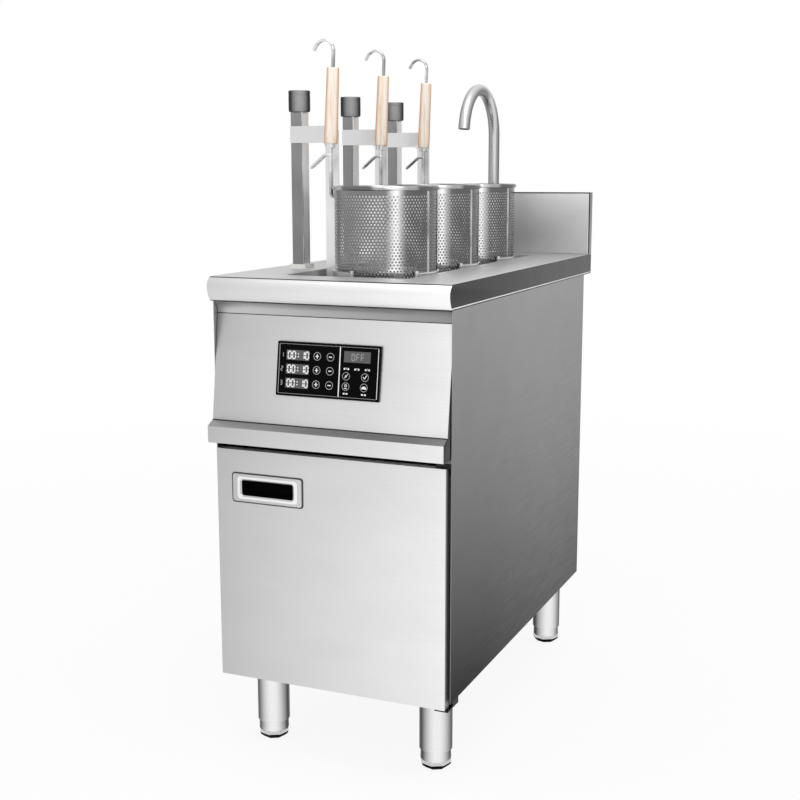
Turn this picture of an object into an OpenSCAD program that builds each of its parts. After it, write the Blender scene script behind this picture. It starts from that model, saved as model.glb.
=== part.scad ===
// Free-standing electric pasta cooker: a narrow steel cabinet on four levelling feet,
// a boiling tank let into the worktop, and three powered posts that lift three round
// perforated baskets one by one. Millimetres. X runs to the right, Y to the back, Z up.
// The origin is on the floor, below the middle of the overall width and depth.

/* [Cabinet] */
// Width over the worktop
cabinet_w = 400; // [380:1:440]
// Depth of the worktop, from the front plane of the side panels to its rear edge
top_depth = 756; // [750:1:800]
// Height of the worktop above the floor
top_z = 774; // [770:1:800]
// Height of the worktop's rolled edge
slab_h = 38; // [34:1:42]
// Radius of the upper part of the rolled front edge
nose_r = 15.2; // [12:0.2:16]
// How far the lower lip of the rolled edge lies behind its foremost line
nose_tuck = 9.4; // [7:0.2:10]
// Thickness of the casing's steel sheet
sheet = 1.5; // [1:0.1:1.6]
// Height of the splashback above the worktop
splash_h = 119; // [60:1:160]
// Thickness of the splashback
splash_t = 17; // [12:1:20]
// Height of the cabinet's underside above the floor
base_z = 140; // [136:1:150]
// Depth of the side panels
side_depth = 711; // [708:1:720]
// Width of the square tube of the two frames
rail = 25; // [20:1:25]

/* [Front] */
// Drop from the worktop's lip to the top of the sloping fascia
cove_r = 19.5; // [17:0.5:20]
// Distance of the fascia's top edge behind the front plane
fascia_back = 10; // [8:1:12]
// Reach of the fascia's foot in front of the front plane
fascia_out = 13; // [10:1:15]
// Height of the fascia
fascia_h = 164.5; // [155:0.5:170]
// Play between the fascia and each side panel
fascia_play = 0.5; // [0.3:0.1:1]
// Reach of the ledge in front of the front plane
ledge_out = 29; // [26:1:32]
// Height of the ledge's sloping top
ledge_slope = 8.5; // [6:0.5:10]
// Height of the ledge's upright face
ledge_h = 26.5; // [22:0.5:30]
// Radius of the ledge's lower edge
ledge_r = 3; // [2:0.5:4]

/* [Door] */
// Distance of the door's upright edges from the worktop's sides
door_side = 7; // [6:0.5:17]
// Gap between the ledge and the door
door_gap = 11.5; // [9:0.5:14]
// How far the door's lower edge hangs below the cabinet's underside
door_drop = 7.7; // [5:0.1:9]
// Reach of the door in front of the front plane
door_out = 9.6; // [8:0.1:11]
// Depth of the door behind the front plane
door_in = 8; // [6:0.5:8]
// Diameter of the door's hinge pins
pin_d = 8; // [6:0.5:9]
// Distance of the hinge line from the door's right edge
pin_set = 8.5; // [8:0.1:9]
// Width of the recessed handle's frame
pull_w = 124.5; // [110:0.5:130]
// Height of the recessed handle's frame
pull_h = 48; // [44:0.5:52]
// Width of the finger recess
cup_w = 88; // [80:1:92]
// Height of the finger recess
cup_h = 23; // [20:0.5:26]
// Depth of the finger recess behind the door's face
cup_d = 14; // [10:0.5:15]
// Distance of the handle's middle from the door's left edge
pull_inset = 89.3; // [83:0.1:98]
// Distance of the handle's middle below the door's upper edge
pull_drop = 60; // [50:1:90]

/* [Control panel] */
// Width of the glass touch panel
glass_w = 172; // [165:1:180]
// Height of the glass touch panel
glass_h = 82.5; // [76:0.5:86]
// Thickness of the glass touch panel
glass_t = 3; // [2:0.5:4]
// Distance of the glass above the fascia's foot, along the slope
glass_s = 45; // [40:1:60]

/* [Tank] */
// Inner width of the tank
tank_w = 208; // [204:1:214]
// Inner length of the tank
tank_l = 614; // [608:1:616]
// Distance of the tank's mouth behind the front plane
tank_front = 58; // [56:1:64]
// Inner depth of the tank
tank_d = 200; // [195:1:215]
// Radius of the tank's upright corners
tank_r = 12; // [8:1:15]
// Diameter of the heating tubes
heater_d = 8; // [6:0.5:9]
// Diameter of the overflow pipe
overflow_d = 22; // [18:1:26]
// Distance of the overflow's rim below the worktop
overflow_drop = 30; // [20:1:45]
// Outer diameter of the one-inch drain outlet
drain_d = 33.7; // [30:0.1:34]
// Wall of the drain outlet
drain_wall = 3.2; // [2:0.1:4]

/* [Lifts] */
// Distance between neighbouring lifts
lift_pitch = 195; // [190:1:196]
// Distance of the first basket's middle behind the front plane
lift_depth = 180; // [176:1:184]
// Distance of the posts' middle from the worktop's left side
post_inset = 51.5; // [50:0.5:53]
// Width of the square-cut lifting post, across the cabinet
post_w = 21; // [19:0.5:22]
// Depth of the lifting post, along the cabinet
post_d = 23.5; // [21:0.5:25]
// Wall of the lifting post
post_wall = 1.5; // [1:0.1:2]
// Distance of the post's front face behind the basket's middle
post_set = 10; // [8:0.5:12]
// Height of the post above the worktop, up to the cap's lower edge
post_h = 254; // [230:1:280]
// Diameter of the rubber cap on the post
cap_d = 37.5; // [35:0.5:40]
// Height of the rubber cap
cap_h = 35; // [28:1:40]
// Height of the flag plate
flag_h = 27; // [24:1:32]
// Thickness of the flag plate and its strap
flag_t = 3; // [2:0.5:4]
// Distance of the flag plate's upper edge below the cap
flag_drop = 23; // [20:1:40]
// Width of the strap that carries the cradle
strap_w = 24; // [20:1:26]
// Travel of a lift
travel = 130; // [100:1:132]

/* [Baskets] */
// Distance of the baskets' middle to the right of the cabinet's middle
basket_x = 15; // [14.5:0.5:16]
// Radius of a basket's wall
basket_r = 82; // [80:0.5:82.5]
// Height of a basket
basket_h = 165; // [150:1:166]
// Thickness of a basket's wall
basket_wall = 1; // [0.8:0.1:1.5]
// Diameter of the rolled rim
rim_d = 7; // [5:0.5:7]
// Height of the rim's top above the worktop
rim_h = 132; // [125:1:134]
// Diameter of the handle's wire
wire_d = 5; // [4:0.5:6]
// Length of the wooden grip
grip_l = 117; // [100:1:125]
// Diameter of the grip at its lower end
grip_d = 22; // [20:0.5:24]
// Diameter of the grip at its upper end
grip_top_d = 19.5; // [17:0.5:20]
// Height of the grip's lower end above the rim's top
grip_h = 70; // [60:1:80]
// Radius of the hanging hook
hook_r = 18.5; // [14:0.5:20]
// Height of the hook's stem between grip and bend
hook_stem = 23; // [18:1:30]

/* [Faucet] */
// Distance of the faucet to the right of the cabinet's middle
faucet_x = 18; // [10:1:20]
// Diameter of the faucet's tube
spout_d = 21; // [18:0.5:22]
// Height of the faucet's bend centre above the worktop
spout_h = 224; // [200:1:240]
// Radius of the faucet's bend, to the tube's middle
spout_r = 84; // [75:1:86]

/* [Feet] */
// Diameter of a leg
leg_d = 53; // [48:0.5:56]
// Distance of a leg's middle from the worktop's side
leg_inset = 54; // [50:1:65]
// Distance of the front legs behind the front plane
leg_front = 74; // [65:1:85]
// Distance between front and rear legs
leg_span = 604; // [590:1:610]
// Height of the foot that shows below the leg
foot_h = 31; // [20:1:36]

/* [Hidden] */
$fn = 64;

// Overrun of every cut
over = 1;
// Radial running clearance of pins, stems and spigots
run_play = 0.05;
// Clearance between sliding or loosely seated parts
play = 0.3;
// Clearance of a hole round a fixed part
hole_play = 1;

// Overall depth, from the ledge to the worktop's rear edge
depth = ledge_out + top_depth;
// Front plane of the side panels in the part's own frame
front_y = ledge_out - depth / 2;
// Lower edge of the worktop's skirt
skirt_z = top_z - slab_h;
// Underside of the worktop's sheet
deck_z = top_z - sheet;
// Outer face of the side panels, from the middle
side_x = cabinet_w / 2 - sheet;
// Inner face of the side panels, from the middle
side_in = side_x - sheet;
fascia_x = side_in - fascia_play;
fascia_top = skirt_z - cove_r;
fascia_foot = fascia_top - fascia_h;
fascia_run = fascia_back + fascia_out;
fascia_lean = atan2(fascia_run, fascia_h);
ledge_top = fascia_foot - ledge_slope;
ledge_z = ledge_top - ledge_h;
door_w = cabinet_w - 2 * door_side;
door_top = ledge_z - door_gap;
door_z = base_z - door_drop;
door_h = door_top - door_z;
pin_x = door_w / 2 - pin_set;
pin_depth_share = 0.2;
pin_y = -door_out * pin_depth_share;
pull_x = door_w / 2 - pull_inset;
pull_z = door_top - pull_drop;
// Front of the frames and inner sheets, clear of the swinging door
inner_y = door_in + 4 * sheet - 2 * play;
// Front face of the back panel
back_y = side_depth - 2 * sheet;
rail_z = base_z + sheet;
tank_rear = tank_front + tank_l;
tank_z = top_z - tank_d;
tank_out_x = tank_w / 2 + sheet;
post_x = cabinet_w / 2 - post_inset;
post_z = top_z + post_h;
post_right = -post_x + post_w / 2;
post_left = -post_x - post_w / 2;
cap_cover = cap_h - 5 * sheet;
flag_top = post_z - flag_drop;
flag_z = flag_top - flag_h;
rim_top = top_z + rim_h;
basket_z = rim_top - basket_h;
rim_out = basket_r + rim_d / 2;
// Inner edge of the strap, clear of the basket's rim
strap_x = basket_x - rim_out - 2 * play;
grip_z = rim_top + grip_h;
// Bearing of the basket's handle, from the lift side towards the front
handle_turn = 14;
handle_reach = rim_out + wire_d / 2 + play;
grip_lean = 2.5;
wire_gap = 8;
faucet_y = tank_rear + sheet + spout_d - 2 * play;
leg_x = cabinet_w / 2 - leg_inset;

function lift_y(k) = lift_depth + lift_pitch * (k - 1);
function arc_points(cy, cz, r, a0, a1, steps = 12) =
    [for (i = [0:steps]) let (a = a0 + (a1 - a0) * i / steps) [cy + r * cos(a), cz + r * sin(a)]];

// Moves a piece from the cabinet's front plane to the part's own frame
module set_back() {
    translate([0, front_y, 0]) children();
}

// A block between two corners
module block(low, high) {
    translate(low) cube(high - low);
}

// A profile drawn in Y and Z, drawn out to both sides of the middle
module across(half) {
    translate([-half, 0, 0]) rotate([90, 0, 90]) linear_extrude(2 * half) children();
}

// A plate outline with round corners, centred
module round_outline(w, h, r) {
    square([w - 2 * r, h], center = true);
    square([w, h - 2 * r], center = true);
    for (sx = [-1, 1], sy = [-1, 1]) translate([sx * (w / 2 - r), sy * (h / 2 - r)]) circle(r);
}

// A quarter or half ring of round wire in the XZ plane, starting at +X
module wire_bend(r, d, angle) {
    rotate([90, 0, 0]) rotate_extrude(angle = angle) translate([r, 0]) circle(d / 2);
}

// Places a piece drawn for lift 0 at lift k
module at_lift(k) {
    set_back() translate([0, lift_y(k), 0]) children();
}

// Frame of the sloping fascia: origin at the middle of its foot, Z up the slope
module on_fascia() {
    set_back() translate([0, -fascia_out, fascia_foot]) rotate([-fascia_lean, 0, 0]) children();
}

// Worktop with its rolled front edge
nose_low_h = slab_h - nose_r;
nose_low_r = (nose_tuck * nose_tuck + nose_low_h * nose_low_h) / (2 * nose_tuck);
nose_low_turn = asin(nose_low_h / nose_low_r);
shank_d = 16;
collar_wall = 3;
hole_w = post_w + 2 * collar_wall;
hole_d = post_d + 2 * collar_wall;

function nose_points(t) = concat(
    arc_points(0, top_z - nose_r, nose_r - t, 90, 180),
    arc_points(nose_low_r - nose_r, top_z - nose_r, nose_low_r - t, 180, 180 + nose_low_turn));

module worktop_profile(t, z_low) {
    lip = t > 0 ? [[nose_tuck - nose_r + t * cos(nose_low_turn), z_low]] : [];
    polygon(concat([[top_depth - t, top_z - t]], nose_points(t), lip, [[top_depth - t, z_low]]));
}

module post_holes(w, d, z_low, z_high) {
    for (k = [1:3]) translate([-post_x, lift_y(k) + post_set + post_d / 2, 0])
        block([-w / 2, -d / 2, z_low], [w / 2, d / 2, z_high]);
}

module worktop() {
    color([0.80, 0.80, 0.80]) set_back() difference() {
        across(cabinet_w / 2) worktop_profile(0, skirt_z);
        difference() {
            across(cabinet_w / 2 - sheet) worktop_profile(sheet, skirt_z - over);
            block([-cabinet_w, -nose_r, skirt_z - over], [cabinet_w, 0, skirt_z + sheet]);
        }
        translate([0, tank_front + tank_l / 2, deck_z - over]) linear_extrude(sheet + 2 * over)
            round_outline(tank_w + 2 * sheet, tank_l + 2 * sheet, tank_r + sheet);
        post_holes(hole_w, hole_d, deck_z - over, top_z + over);
        translate([faucet_x, faucet_y, deck_z - over]) cylinder(d = shank_d + 2 * play, h = sheet + 2 * over);
    }
}

module splashback() {
    color([0.72, 0.72, 0.72]) set_back() difference() {
        block([-cabinet_w / 2, top_depth - splash_t, top_z], [cabinet_w / 2, top_depth, top_z + splash_h]);
        block([-cabinet_w / 2 + sheet, top_depth - splash_t + sheet, top_z - over],
            [cabinet_w / 2 - sheet, top_depth - sheet, top_z + splash_h - sheet]);
    }
}

// Width of the side panels' flanges: one at the rear edge, one behind the door's edge
flange_w = 15;

module side_panel() {
    block([side_in, 0, base_z], [side_x, side_depth, deck_z]);
    block([side_in - flange_w, side_depth - sheet, base_z], [side_x, side_depth, deck_z]);
    block([side_in - flange_w, inner_y - sheet, base_z], [side_in, inner_y, ledge_z - stop_flange_h - play]);
}

module left_side_panel() {
    color([0.62, 0.62, 0.63]) set_back() mirror([1, 0, 0]) side_panel();
}

module right_side_panel() {
    color([0.62, 0.62, 0.63]) set_back() side_panel();
}

// Back panel with rows of air slots and the holes of inlet and gland
slot_l = 60;
slot_h = 5;
slot_pitch = 15;
slot_rows = 6;
slot_place_share = 0.75;
slot_z = base_z + 5 * rail;
inlet_x = 60;
inlet_z = skirt_z - 4 * rail;
inlet_d = 26.4;
// Diameter of the solenoid valve's body and of its neck through the back panel
fill_d = 24;
gland_x = 110;
gland_z = base_z + 3 * rail;
gland_d = 20;

module back_panel() {
    color([0.66, 0.66, 0.66]) set_back() difference() {
        block([-side_in, back_y, base_z + sheet], [side_in, back_y + sheet, deck_z]);
        for (i = [0:slot_rows - 1], sx = [-1, 1])
            translate([sx * slot_l * slot_place_share, back_y + sheet / 2, slot_z + slot_pitch * i])
                cube([slot_l, 2 * over + sheet, slot_h], center = true);
        translate([inlet_x, back_y - over, inlet_z]) rotate([-90, 0, 0])
            cylinder(d = fill_d + 2 * play, h = sheet + 2 * over);
        translate([gland_x, back_y - over, gland_z]) rotate([-90, 0, 0])
            cylinder(d = gland_d + 2 * run_play, h = sheet + 2 * over);
    }
}

// Drain line below the front right corner of the tank
drain_x = 60;
drain_y = tank_front + 2 * rail;
drain_bore = drain_d - 2 * drain_wall;
// Outer diameter of the drain pipe inside the cabinet
pipe_d = drain_d - 2 * sheet;
drain_hole = pipe_d / 2 + hole_play;

module bottom_panel() {
    color([0.60, 0.60, 0.60]) set_back() difference() {
        block([-side_in, inner_y, base_z], [side_in, back_y, base_z + sheet]);
        translate([drain_x, drain_y, base_z - over]) cylinder(r = drain_hole, h = sheet + 2 * over);
    }
}

// Two side rails from front to back, with their upper face at a given height
module side_rails(top) {
    for (s = [-1, 1]) translate([s * (side_in - rail / 2), 0, 0])
        block([-rail / 2, inner_y, top - rail], [rail / 2, back_y, top]);
}

// A rail across the cabinet, bolted between the side rails
module cross_rail(y, top) {
    block([-side_in + rail + play, y, top - rail], [side_in - rail - play, y + rail, top]);
}

module base_frame() {
    color([0.55, 0.55, 0.56]) set_back() {
        side_rails(rail_z + rail);
        cross_rail(inner_y, rail_z + rail);
        cross_rail(back_y - rail, rail_z + rail);
    }
}

module top_frame() {
    color([0.55, 0.55, 0.56]) set_back() {
        side_rails(deck_z);
        cross_rail(inner_y, deck_z);
    }
}

// Sloping fascia with the hollow cove above it
cove_turn = 76;
window_w_share = 0.9;
window_h_share = 0.8;
window_w = glass_w * window_w_share;
window_h = glass_h * window_h_share;

module fascia_profile() {
    cove_y = fascia_back - cove_r;
    cove_end = asin(cove_r / (cove_r + sheet));
    foot_in_y = -fascia_out + sheet * (tan(fascia_lean) + 1 / cos(fascia_lean));
    polygon(concat([[inner_y, fascia_foot], [-fascia_out, fascia_foot]],
        arc_points(cove_y, fascia_top, cove_r, 0, cove_turn),
        arc_points(cove_y, fascia_top, cove_r + sheet, cove_end, 0),
        [[foot_in_y, fascia_foot + sheet], [inner_y, fascia_foot + sheet]]));
}

module fascia_end() {
    polygon(concat([[inner_y, fascia_foot], [-fascia_out, fascia_foot]],
        arc_points(fascia_back - cove_r, fascia_top, cove_r, 0, cove_turn), [[inner_y, skirt_z]]));
}

// An end plate on each side of a piece that is drawn with across()
module both_ends(half) {
    for (s = [-1, 1]) translate([s * (half - sheet / 2), 0, 0]) across(sheet / 2) children();
}

module front_fascia() {
    color([0.84, 0.84, 0.84]) difference() {
        set_back() {
            across(fascia_x) fascia_profile();
            both_ends(fascia_x) fascia_end();
        }
        on_fascia() block([-window_w / 2, -over, glass_s + (glass_h - window_h) / 2],
            [window_w / 2, 3 * sheet, glass_s + (glass_h + window_h) / 2]);
    }
}

// Ledge: a folded channel with a stop flange that hangs behind the door's upper edge
stop_flange_h = 25;

module front_ledge() {
    color([0.78, 0.78, 0.78]) set_back() {
        across(fascia_x) ledge_profile();
        both_ends(fascia_x) ledge_outline();
        block([-fascia_x, inner_y - sheet, ledge_z - stop_flange_h], [fascia_x, inner_y, ledge_z]);
    }
}

module ledge_outline() {
    polygon(concat([[inner_y, ledge_z], [inner_y, fascia_foot], [-fascia_out, fascia_foot],
        [-ledge_out, ledge_top]],
        arc_points(-ledge_out + ledge_r, ledge_z + ledge_r, ledge_r, 180, 270, 6)));
}

module ledge_profile() {
    difference() {
        ledge_outline();
        polygon(concat([[inner_y + over, ledge_z + sheet], [inner_y + over, fascia_foot - sheet],
            [-fascia_out + sheet / 4, fascia_foot - sheet], [-ledge_out + sheet, ledge_top - sheet / 2]],
            arc_points(-ledge_out + ledge_r, ledge_z + ledge_r, ledge_r - sheet, 180, 270, 6)));
    }
}

glass_r = 1.5;
housing_d = 26;
board_t = 2;
buzzer_d = 12.5;

module touch_glass() {
    color([0.05, 0.05, 0.06]) on_fascia() translate([0, 0, glass_s + glass_h / 2])
        rotate([90, 0, 0]) linear_extrude(glass_t) round_outline(glass_w, glass_h, glass_r);
}

// Housing behind the fascia: a tray that is open towards the glass
housing_inset = 5;
housing_w = glass_w - 2 * housing_inset;
housing_h = glass_h - 2 * housing_inset;

module control_unit() {
    control_housing();
    control_board();
}

module control_housing() {
    color([0.30, 0.31, 0.33]) on_fascia() translate([0, sheet, glass_s + glass_h / 2]) difference() {
        block([-housing_w / 2, 0, -housing_h / 2], [housing_w / 2, housing_d, housing_h / 2]);
        block([-housing_w / 2 + sheet, -over, -housing_h / 2 + sheet],
            [housing_w / 2 - sheet, housing_d - sheet, housing_h / 2 - sheet]);
    }
}

module control_board() {
    color([0.10, 0.35, 0.20]) on_fascia()
        translate([0, housing_d - board_t - play, glass_s + glass_h / 2]) {
            block([-housing_w / 2 + 2 * sheet, 0, -housing_h / 2 + 2 * sheet],
                [housing_w / 2 - 2 * sheet, board_t, housing_h / 2 - 2 * sheet]);
            for (i = [-1:1]) translate([i * housing_w / 4, 0, 0]) rotate([90, 0, 0])
                cylinder(d = buzzer_d, h = housing_d / 2);
        }
}

// Door: a folded skin, a liner with two bearing blocks, and a recessed pull
bearing_w = 2 * pin_set - 2 * sheet - 2 * play;
bearing_h = 20;

module door_skin() {
    color([0.85, 0.85, 0.85]) set_back() difference() {
        block([-door_w / 2, -door_out, door_z], [door_w / 2, door_in, door_top]);
        block([-door_w / 2 + sheet, -door_out + sheet, door_z + sheet],
            [door_w / 2 - sheet, door_in + over, door_top - sheet]);
        translate([-pull_x, 0, pull_z])
            cube([cup_w + 4 * sheet, 4 * door_out, cup_h + 4 * sheet], center = true);
        translate([pin_x, pin_y, door_z - over]) cylinder(d = pin_d + 2 * play, h = door_h + 2 * over);
    }
}

module door_liner() {
    color([0.70, 0.70, 0.70]) set_back() difference() {
        union() {
            block([-door_w / 2 + sheet, door_in - sheet, door_z + sheet],
                [door_w / 2 - sheet, door_in, door_top - sheet]);
            for (z = [door_z + sheet, door_top - sheet - bearing_h])
                block([pin_x - bearing_w / 2, -door_out + sheet, z],
                    [pin_x + bearing_w / 2, door_in - sheet, z + bearing_h]);
        }
        translate([pin_x, pin_y, door_z]) cylinder(d = pin_d + 2 * run_play, h = door_h);
    }
}

pull_t = 1.5;
pull_r = 6;
cup_wall = 1.2;
cup_r = 3;

module door_pull() {
    color([0.75, 0.75, 0.75]) set_back()
    translate([-pull_x, -door_out, pull_z]) rotate([-90, 0, 0]) difference() {
        union() {
            translate([0, 0, -pull_t]) linear_extrude(pull_t) round_outline(pull_w, pull_h, pull_r);
            linear_extrude(cup_d) round_outline(cup_w + 2 * cup_wall, cup_h + 2 * cup_wall, cup_r + cup_wall);
        }
        translate([0, 0, -pull_t - over]) linear_extrude(cup_d + pull_t + over - cup_wall)
            round_outline(cup_w, cup_h, cup_r);
    }
}

// Upper and lower hinge bracket, each with its pin
hinge_t = 2.8;
hinge_gap = 0.5;
hinge_w = 22;
hinge_pin_l = 18;
hinge_front_share = 0.7;

module door_hinges() {
    color([0.50, 0.50, 0.52]) set_back() {
        block([side_in - hinge_w, -door_out * hinge_front_share, door_top + hinge_gap],
            [side_in, inner_y - sheet, door_top + hinge_gap + hinge_t]);
        translate([pin_x, pin_y, door_top + hinge_gap + hinge_t - hinge_pin_l])
            cylinder(d = pin_d, h = hinge_pin_l);
        block([side_in - hinge_w, -door_out * hinge_front_share, door_z - hinge_gap - hinge_t],
            [side_in, inner_y + rail, door_z - hinge_gap]);
        block([side_in - hinge_w, inner_y, door_z - hinge_gap - hinge_t], [side_in, inner_y + rail, base_z]);
        translate([pin_x, pin_y, door_z - hinge_gap - hinge_t]) cylinder(d = pin_d, h = hinge_pin_l);
    }
}

magnet_w = 34;
magnet_h = 16;
magnet_l = 24;

module door_magnet() {
    color([0.25, 0.25, 0.26]) set_back()
        block([-side_in + flange_w + play, door_in + play, ledge_z - stop_flange_h - magnet_h],
            [-side_in + flange_w + play + magnet_w, door_in + play + magnet_l, ledge_z - stop_flange_h]);
}

// Tank and what it holds
heater_gap = 40;
heater_lift = 11;
heater_front = 60;
heater_tail = 24;
heater_x = 50;
branch_z = base_z + 9 * rail;
overflow_place_share = 0.75;
overflow_x = tank_w / 2 - overflow_d * overflow_place_share;
overflow_y = tank_front + overflow_d;
overflow_tail = tank_z - branch_z;
probe_d = 6;
probe_x = tank_w / 2 - tank_r - probe_d;
probe_lift = 29;
probe_z = tank_z + probe_lift;
probe_l = 110;

module tank_outline(extra) {
    translate([0, tank_front + tank_l / 2, 0]) linear_extrude(tank_d + extra)
        round_outline(tank_w + 2 * extra, tank_l + 2 * extra, tank_r + extra);
}

module tank() {
    color([0.70, 0.71, 0.72]) set_back() difference() {
        translate([0, 0, tank_z - sheet]) tank_outline(sheet);
        translate([0, 0, tank_z]) linear_extrude(tank_d + over) translate([0, tank_front + tank_l / 2])
            round_outline(tank_w, tank_l, tank_r);
        translate([drain_x, drain_y, tank_z - sheet - over])
            cylinder(d = drain_bore, h = sheet + 2 * over);
        translate([overflow_x, overflow_y, tank_z - sheet - over])
            cylinder(d = overflow_d + 2 * run_play, h = sheet + 2 * over);
        for (s = [-1, 1], t = [-1, 1])
            translate([s * heater_x + t * heater_gap / 2, tank_rear - over, tank_z + heater_lift])
                rotate([-90, 0, 0]) cylinder(d = heater_d + 2 * run_play, h = sheet + 2 * over);
        translate([-probe_x, tank_rear - over, probe_z]) rotate([-90, 0, 0])
            cylinder(d = probe_d + 2 * run_play, h = sheet + 2 * over);
    }
}

grid_t = 2;
grid_lift = 22;
grid_z = tank_z + grid_lift;
grid_slot_x_share = 0.22;
grid_slot_w_share = 0.32;
grid_foot = 10;
grid_rows = 12;
grid_front = drain_y + drain_d;

module tank_grid() {
    grid_l = tank_rear - grid_front - rail / 2;
    color([0.75, 0.75, 0.75]) set_back() difference() {
        union() {
            translate([0, grid_front + grid_l / 2, grid_z]) linear_extrude(grid_t)
                square([tank_w - 2 * probe_d, grid_l], center = true);
            for (s = [-1, 1], y = [grid_front + grid_foot, grid_front + grid_l - grid_foot])
                translate([s * (tank_w / 2 - probe_d - grid_foot / 2), y, tank_z])
                    cylinder(d = grid_foot, h = grid_z - tank_z);
        }
        for (i = [1:grid_rows], s = [-1, 1])
            translate([s * tank_w * grid_slot_x_share, grid_front + grid_l * (i - 1 / 2) / grid_rows,
                grid_z + grid_t / 2])
                cube([tank_w * grid_slot_w_share, grid_l / grid_rows / 2, grid_t + 2 * over], center = true);
    }
}

module heating_tubes() {
    color([0.35, 0.35, 0.36]) set_back() for (s = [-1, 1])
        translate([s * heater_x, tank_front + heater_front, tank_z + heater_lift]) {
            for (t = [-1, 1]) translate([t * heater_gap / 2, 0, 0]) rotate([-90, 0, 0])
                cylinder(d = heater_d, h = tank_l - heater_front + heater_tail);
            rotate([0, 0, 180]) rotate_extrude(angle = 180)
                translate([heater_gap / 2, 0]) circle(heater_d / 2);
        }
}

overflow_wall = 1.5;

module overflow_pipe() {
    color([0.75, 0.75, 0.76]) set_back()
    translate([overflow_x, overflow_y, tank_z - overflow_tail]) difference() {
        cylinder(d = overflow_d, h = tank_d + overflow_tail - overflow_drop);
        translate([0, 0, -over])
            cylinder(d = overflow_d - 2 * overflow_wall, h = tank_d + overflow_tail + 2 * over);
    }
}

// Drain: a pipe from the tank to the ball valve, and on through the bottom panel
valve_z = base_z + 12 * rail;
valve_h = 60;
valve_d = 46;
outlet_l = 20;
outlet_collar_d = 44;
outlet_collar_h = 4;
stem_d = 8;
stem_l = 22;
lever_l = 95;
lever_w = 14;
lever_t = 4;

module drain_length(low, high) {
    translate([0, 0, low]) difference() {
        cylinder(d = pipe_d, h = high - low);
        translate([0, 0, -over]) cylinder(d = drain_bore, h = high - low + 2 * over);
    }
}

// Outlet below the bottom panel, with a collar that lies against the panel
module drain_outlet() {
    translate([0, 0, base_z - outlet_collar_h]) difference() {
        union() {
            cylinder(d = outlet_collar_d, h = outlet_collar_h);
            translate([0, 0, -outlet_l]) cylinder(d = drain_d, h = outlet_l);
        }
        translate([0, 0, -outlet_l - over])
            cylinder(d = drain_bore, h = outlet_l + outlet_collar_h + 2 * over);
    }
}

// Side branch that takes the overflow pipe, bent up to meet it
module drain_branch() {
    run = [overflow_x - drain_x, overflow_y - drain_y];
    rotate([0, 0, atan2(run[1], run[0])]) {
        translate([(drain_bore + pipe_d) / 4, 0, branch_z - overflow_d]) rotate([0, 90, 0])
            cylinder(d = overflow_d, h = norm(run) - (drain_bore + pipe_d) / 4);
        translate([norm(run), 0, branch_z - overflow_d]) sphere(d = overflow_d);
        translate([norm(run), 0, branch_z - overflow_d]) cylinder(d = overflow_d, h = overflow_d);
    }
}

module drain_pipe() {
    color([0.72, 0.72, 0.73]) set_back() translate([drain_x, drain_y, 0]) {
        drain_outlet();
        drain_length(base_z, valve_z - valve_h / 2);
        drain_length(valve_z + valve_h / 2, tank_z - sheet);
        drain_branch();
    }
}

module drain_valve() {
    color([0.72, 0.60, 0.30]) set_back() translate([drain_x, drain_y, valve_z]) difference() {
        union() {
            translate([0, 0, -valve_h / 2]) cylinder(d = valve_d, h = valve_h);
            rotate([90, 0, 0]) cylinder(d = 2 * stem_d, h = valve_d / 2 + stem_d);
        }
        translate([0, 0, -valve_h / 2 - over])
            cylinder(d = drain_bore, h = valve_h / 2 - stem_d + over);
        translate([0, 0, stem_d]) cylinder(d = drain_bore, h = valve_h / 2 - stem_d + over);
        translate([0, -valve_d / 2 - stem_d - over, 0]) rotate([-90, 0, 0])
            cylinder(d = stem_d + 2 * run_play, h = stem_l - lever_t + over);
    }
}

module drain_lever() {
    color([0.75, 0.12, 0.10]) set_back() translate([drain_x, drain_y - valve_d / 2 - stem_d, valve_z]) {
        translate([0, -lever_t, 0]) rotate([-90, 0, 0]) cylinder(d = stem_d, h = stem_l - play);
        translate([0, -play, 0]) rotate([90, 0, 0]) {
            cylinder(d = 2 * lever_w, h = lever_t);
            translate([-lever_l, -lever_w / 2, 0]) cube([lever_l, lever_w, lever_t]);
            translate([-lever_l, 0, 0]) cylinder(d = lever_w, h = lever_t);
        }
    }
}

module thermostat_probe() {
    color([0.65, 0.65, 0.66]) set_back()
    translate([-probe_x, tank_rear - probe_l, probe_z]) rotate([-90, 0, 0]) {
        cylinder(d = probe_d, h = probe_l + heater_tail / 2);
        translate([0, 0, probe_l + sheet]) cylinder(d = 2 * probe_d, h = probe_d);
    }
}

// Electrics on the back panel
box_w = 150;
box_h = 170;
box_d = 70;
box_x = 40;
box_z = base_z + 8 * rail;
contactor_w = 45;
contactor_h = 80;
contactor_depth_share = 0.6;
contactor_nose_share = 0.8;
contactor_rise_share = 0.75;
terminal_h = 30;

module power_parts() {
    contactor();
    terminal_block();
}

module power_box() {
    color([0.45, 0.46, 0.48]) set_back() translate([box_x, back_y, box_z]) difference() {
        block([-box_w / 2, -box_d, 0], [box_w / 2, 0, box_h]);
        block([-box_w / 2 + sheet, -box_d - over, sheet], [box_w / 2 - sheet, -sheet, box_h - sheet]);
    }
}

module contactor() {
    color([0.80, 0.80, 0.76]) set_back() translate([box_x, back_y - sheet, box_z + box_h / 2]) {
        block([-contactor_w / 2, -box_d * contactor_depth_share, -contactor_h / 4],
            [contactor_w / 2, 0, contactor_h * contactor_rise_share]);
        block([-contactor_w / 4, -box_d * contactor_nose_share, 0],
            [contactor_w / 4, -box_d * contactor_depth_share, contactor_h / 2]);
    }
}

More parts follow.
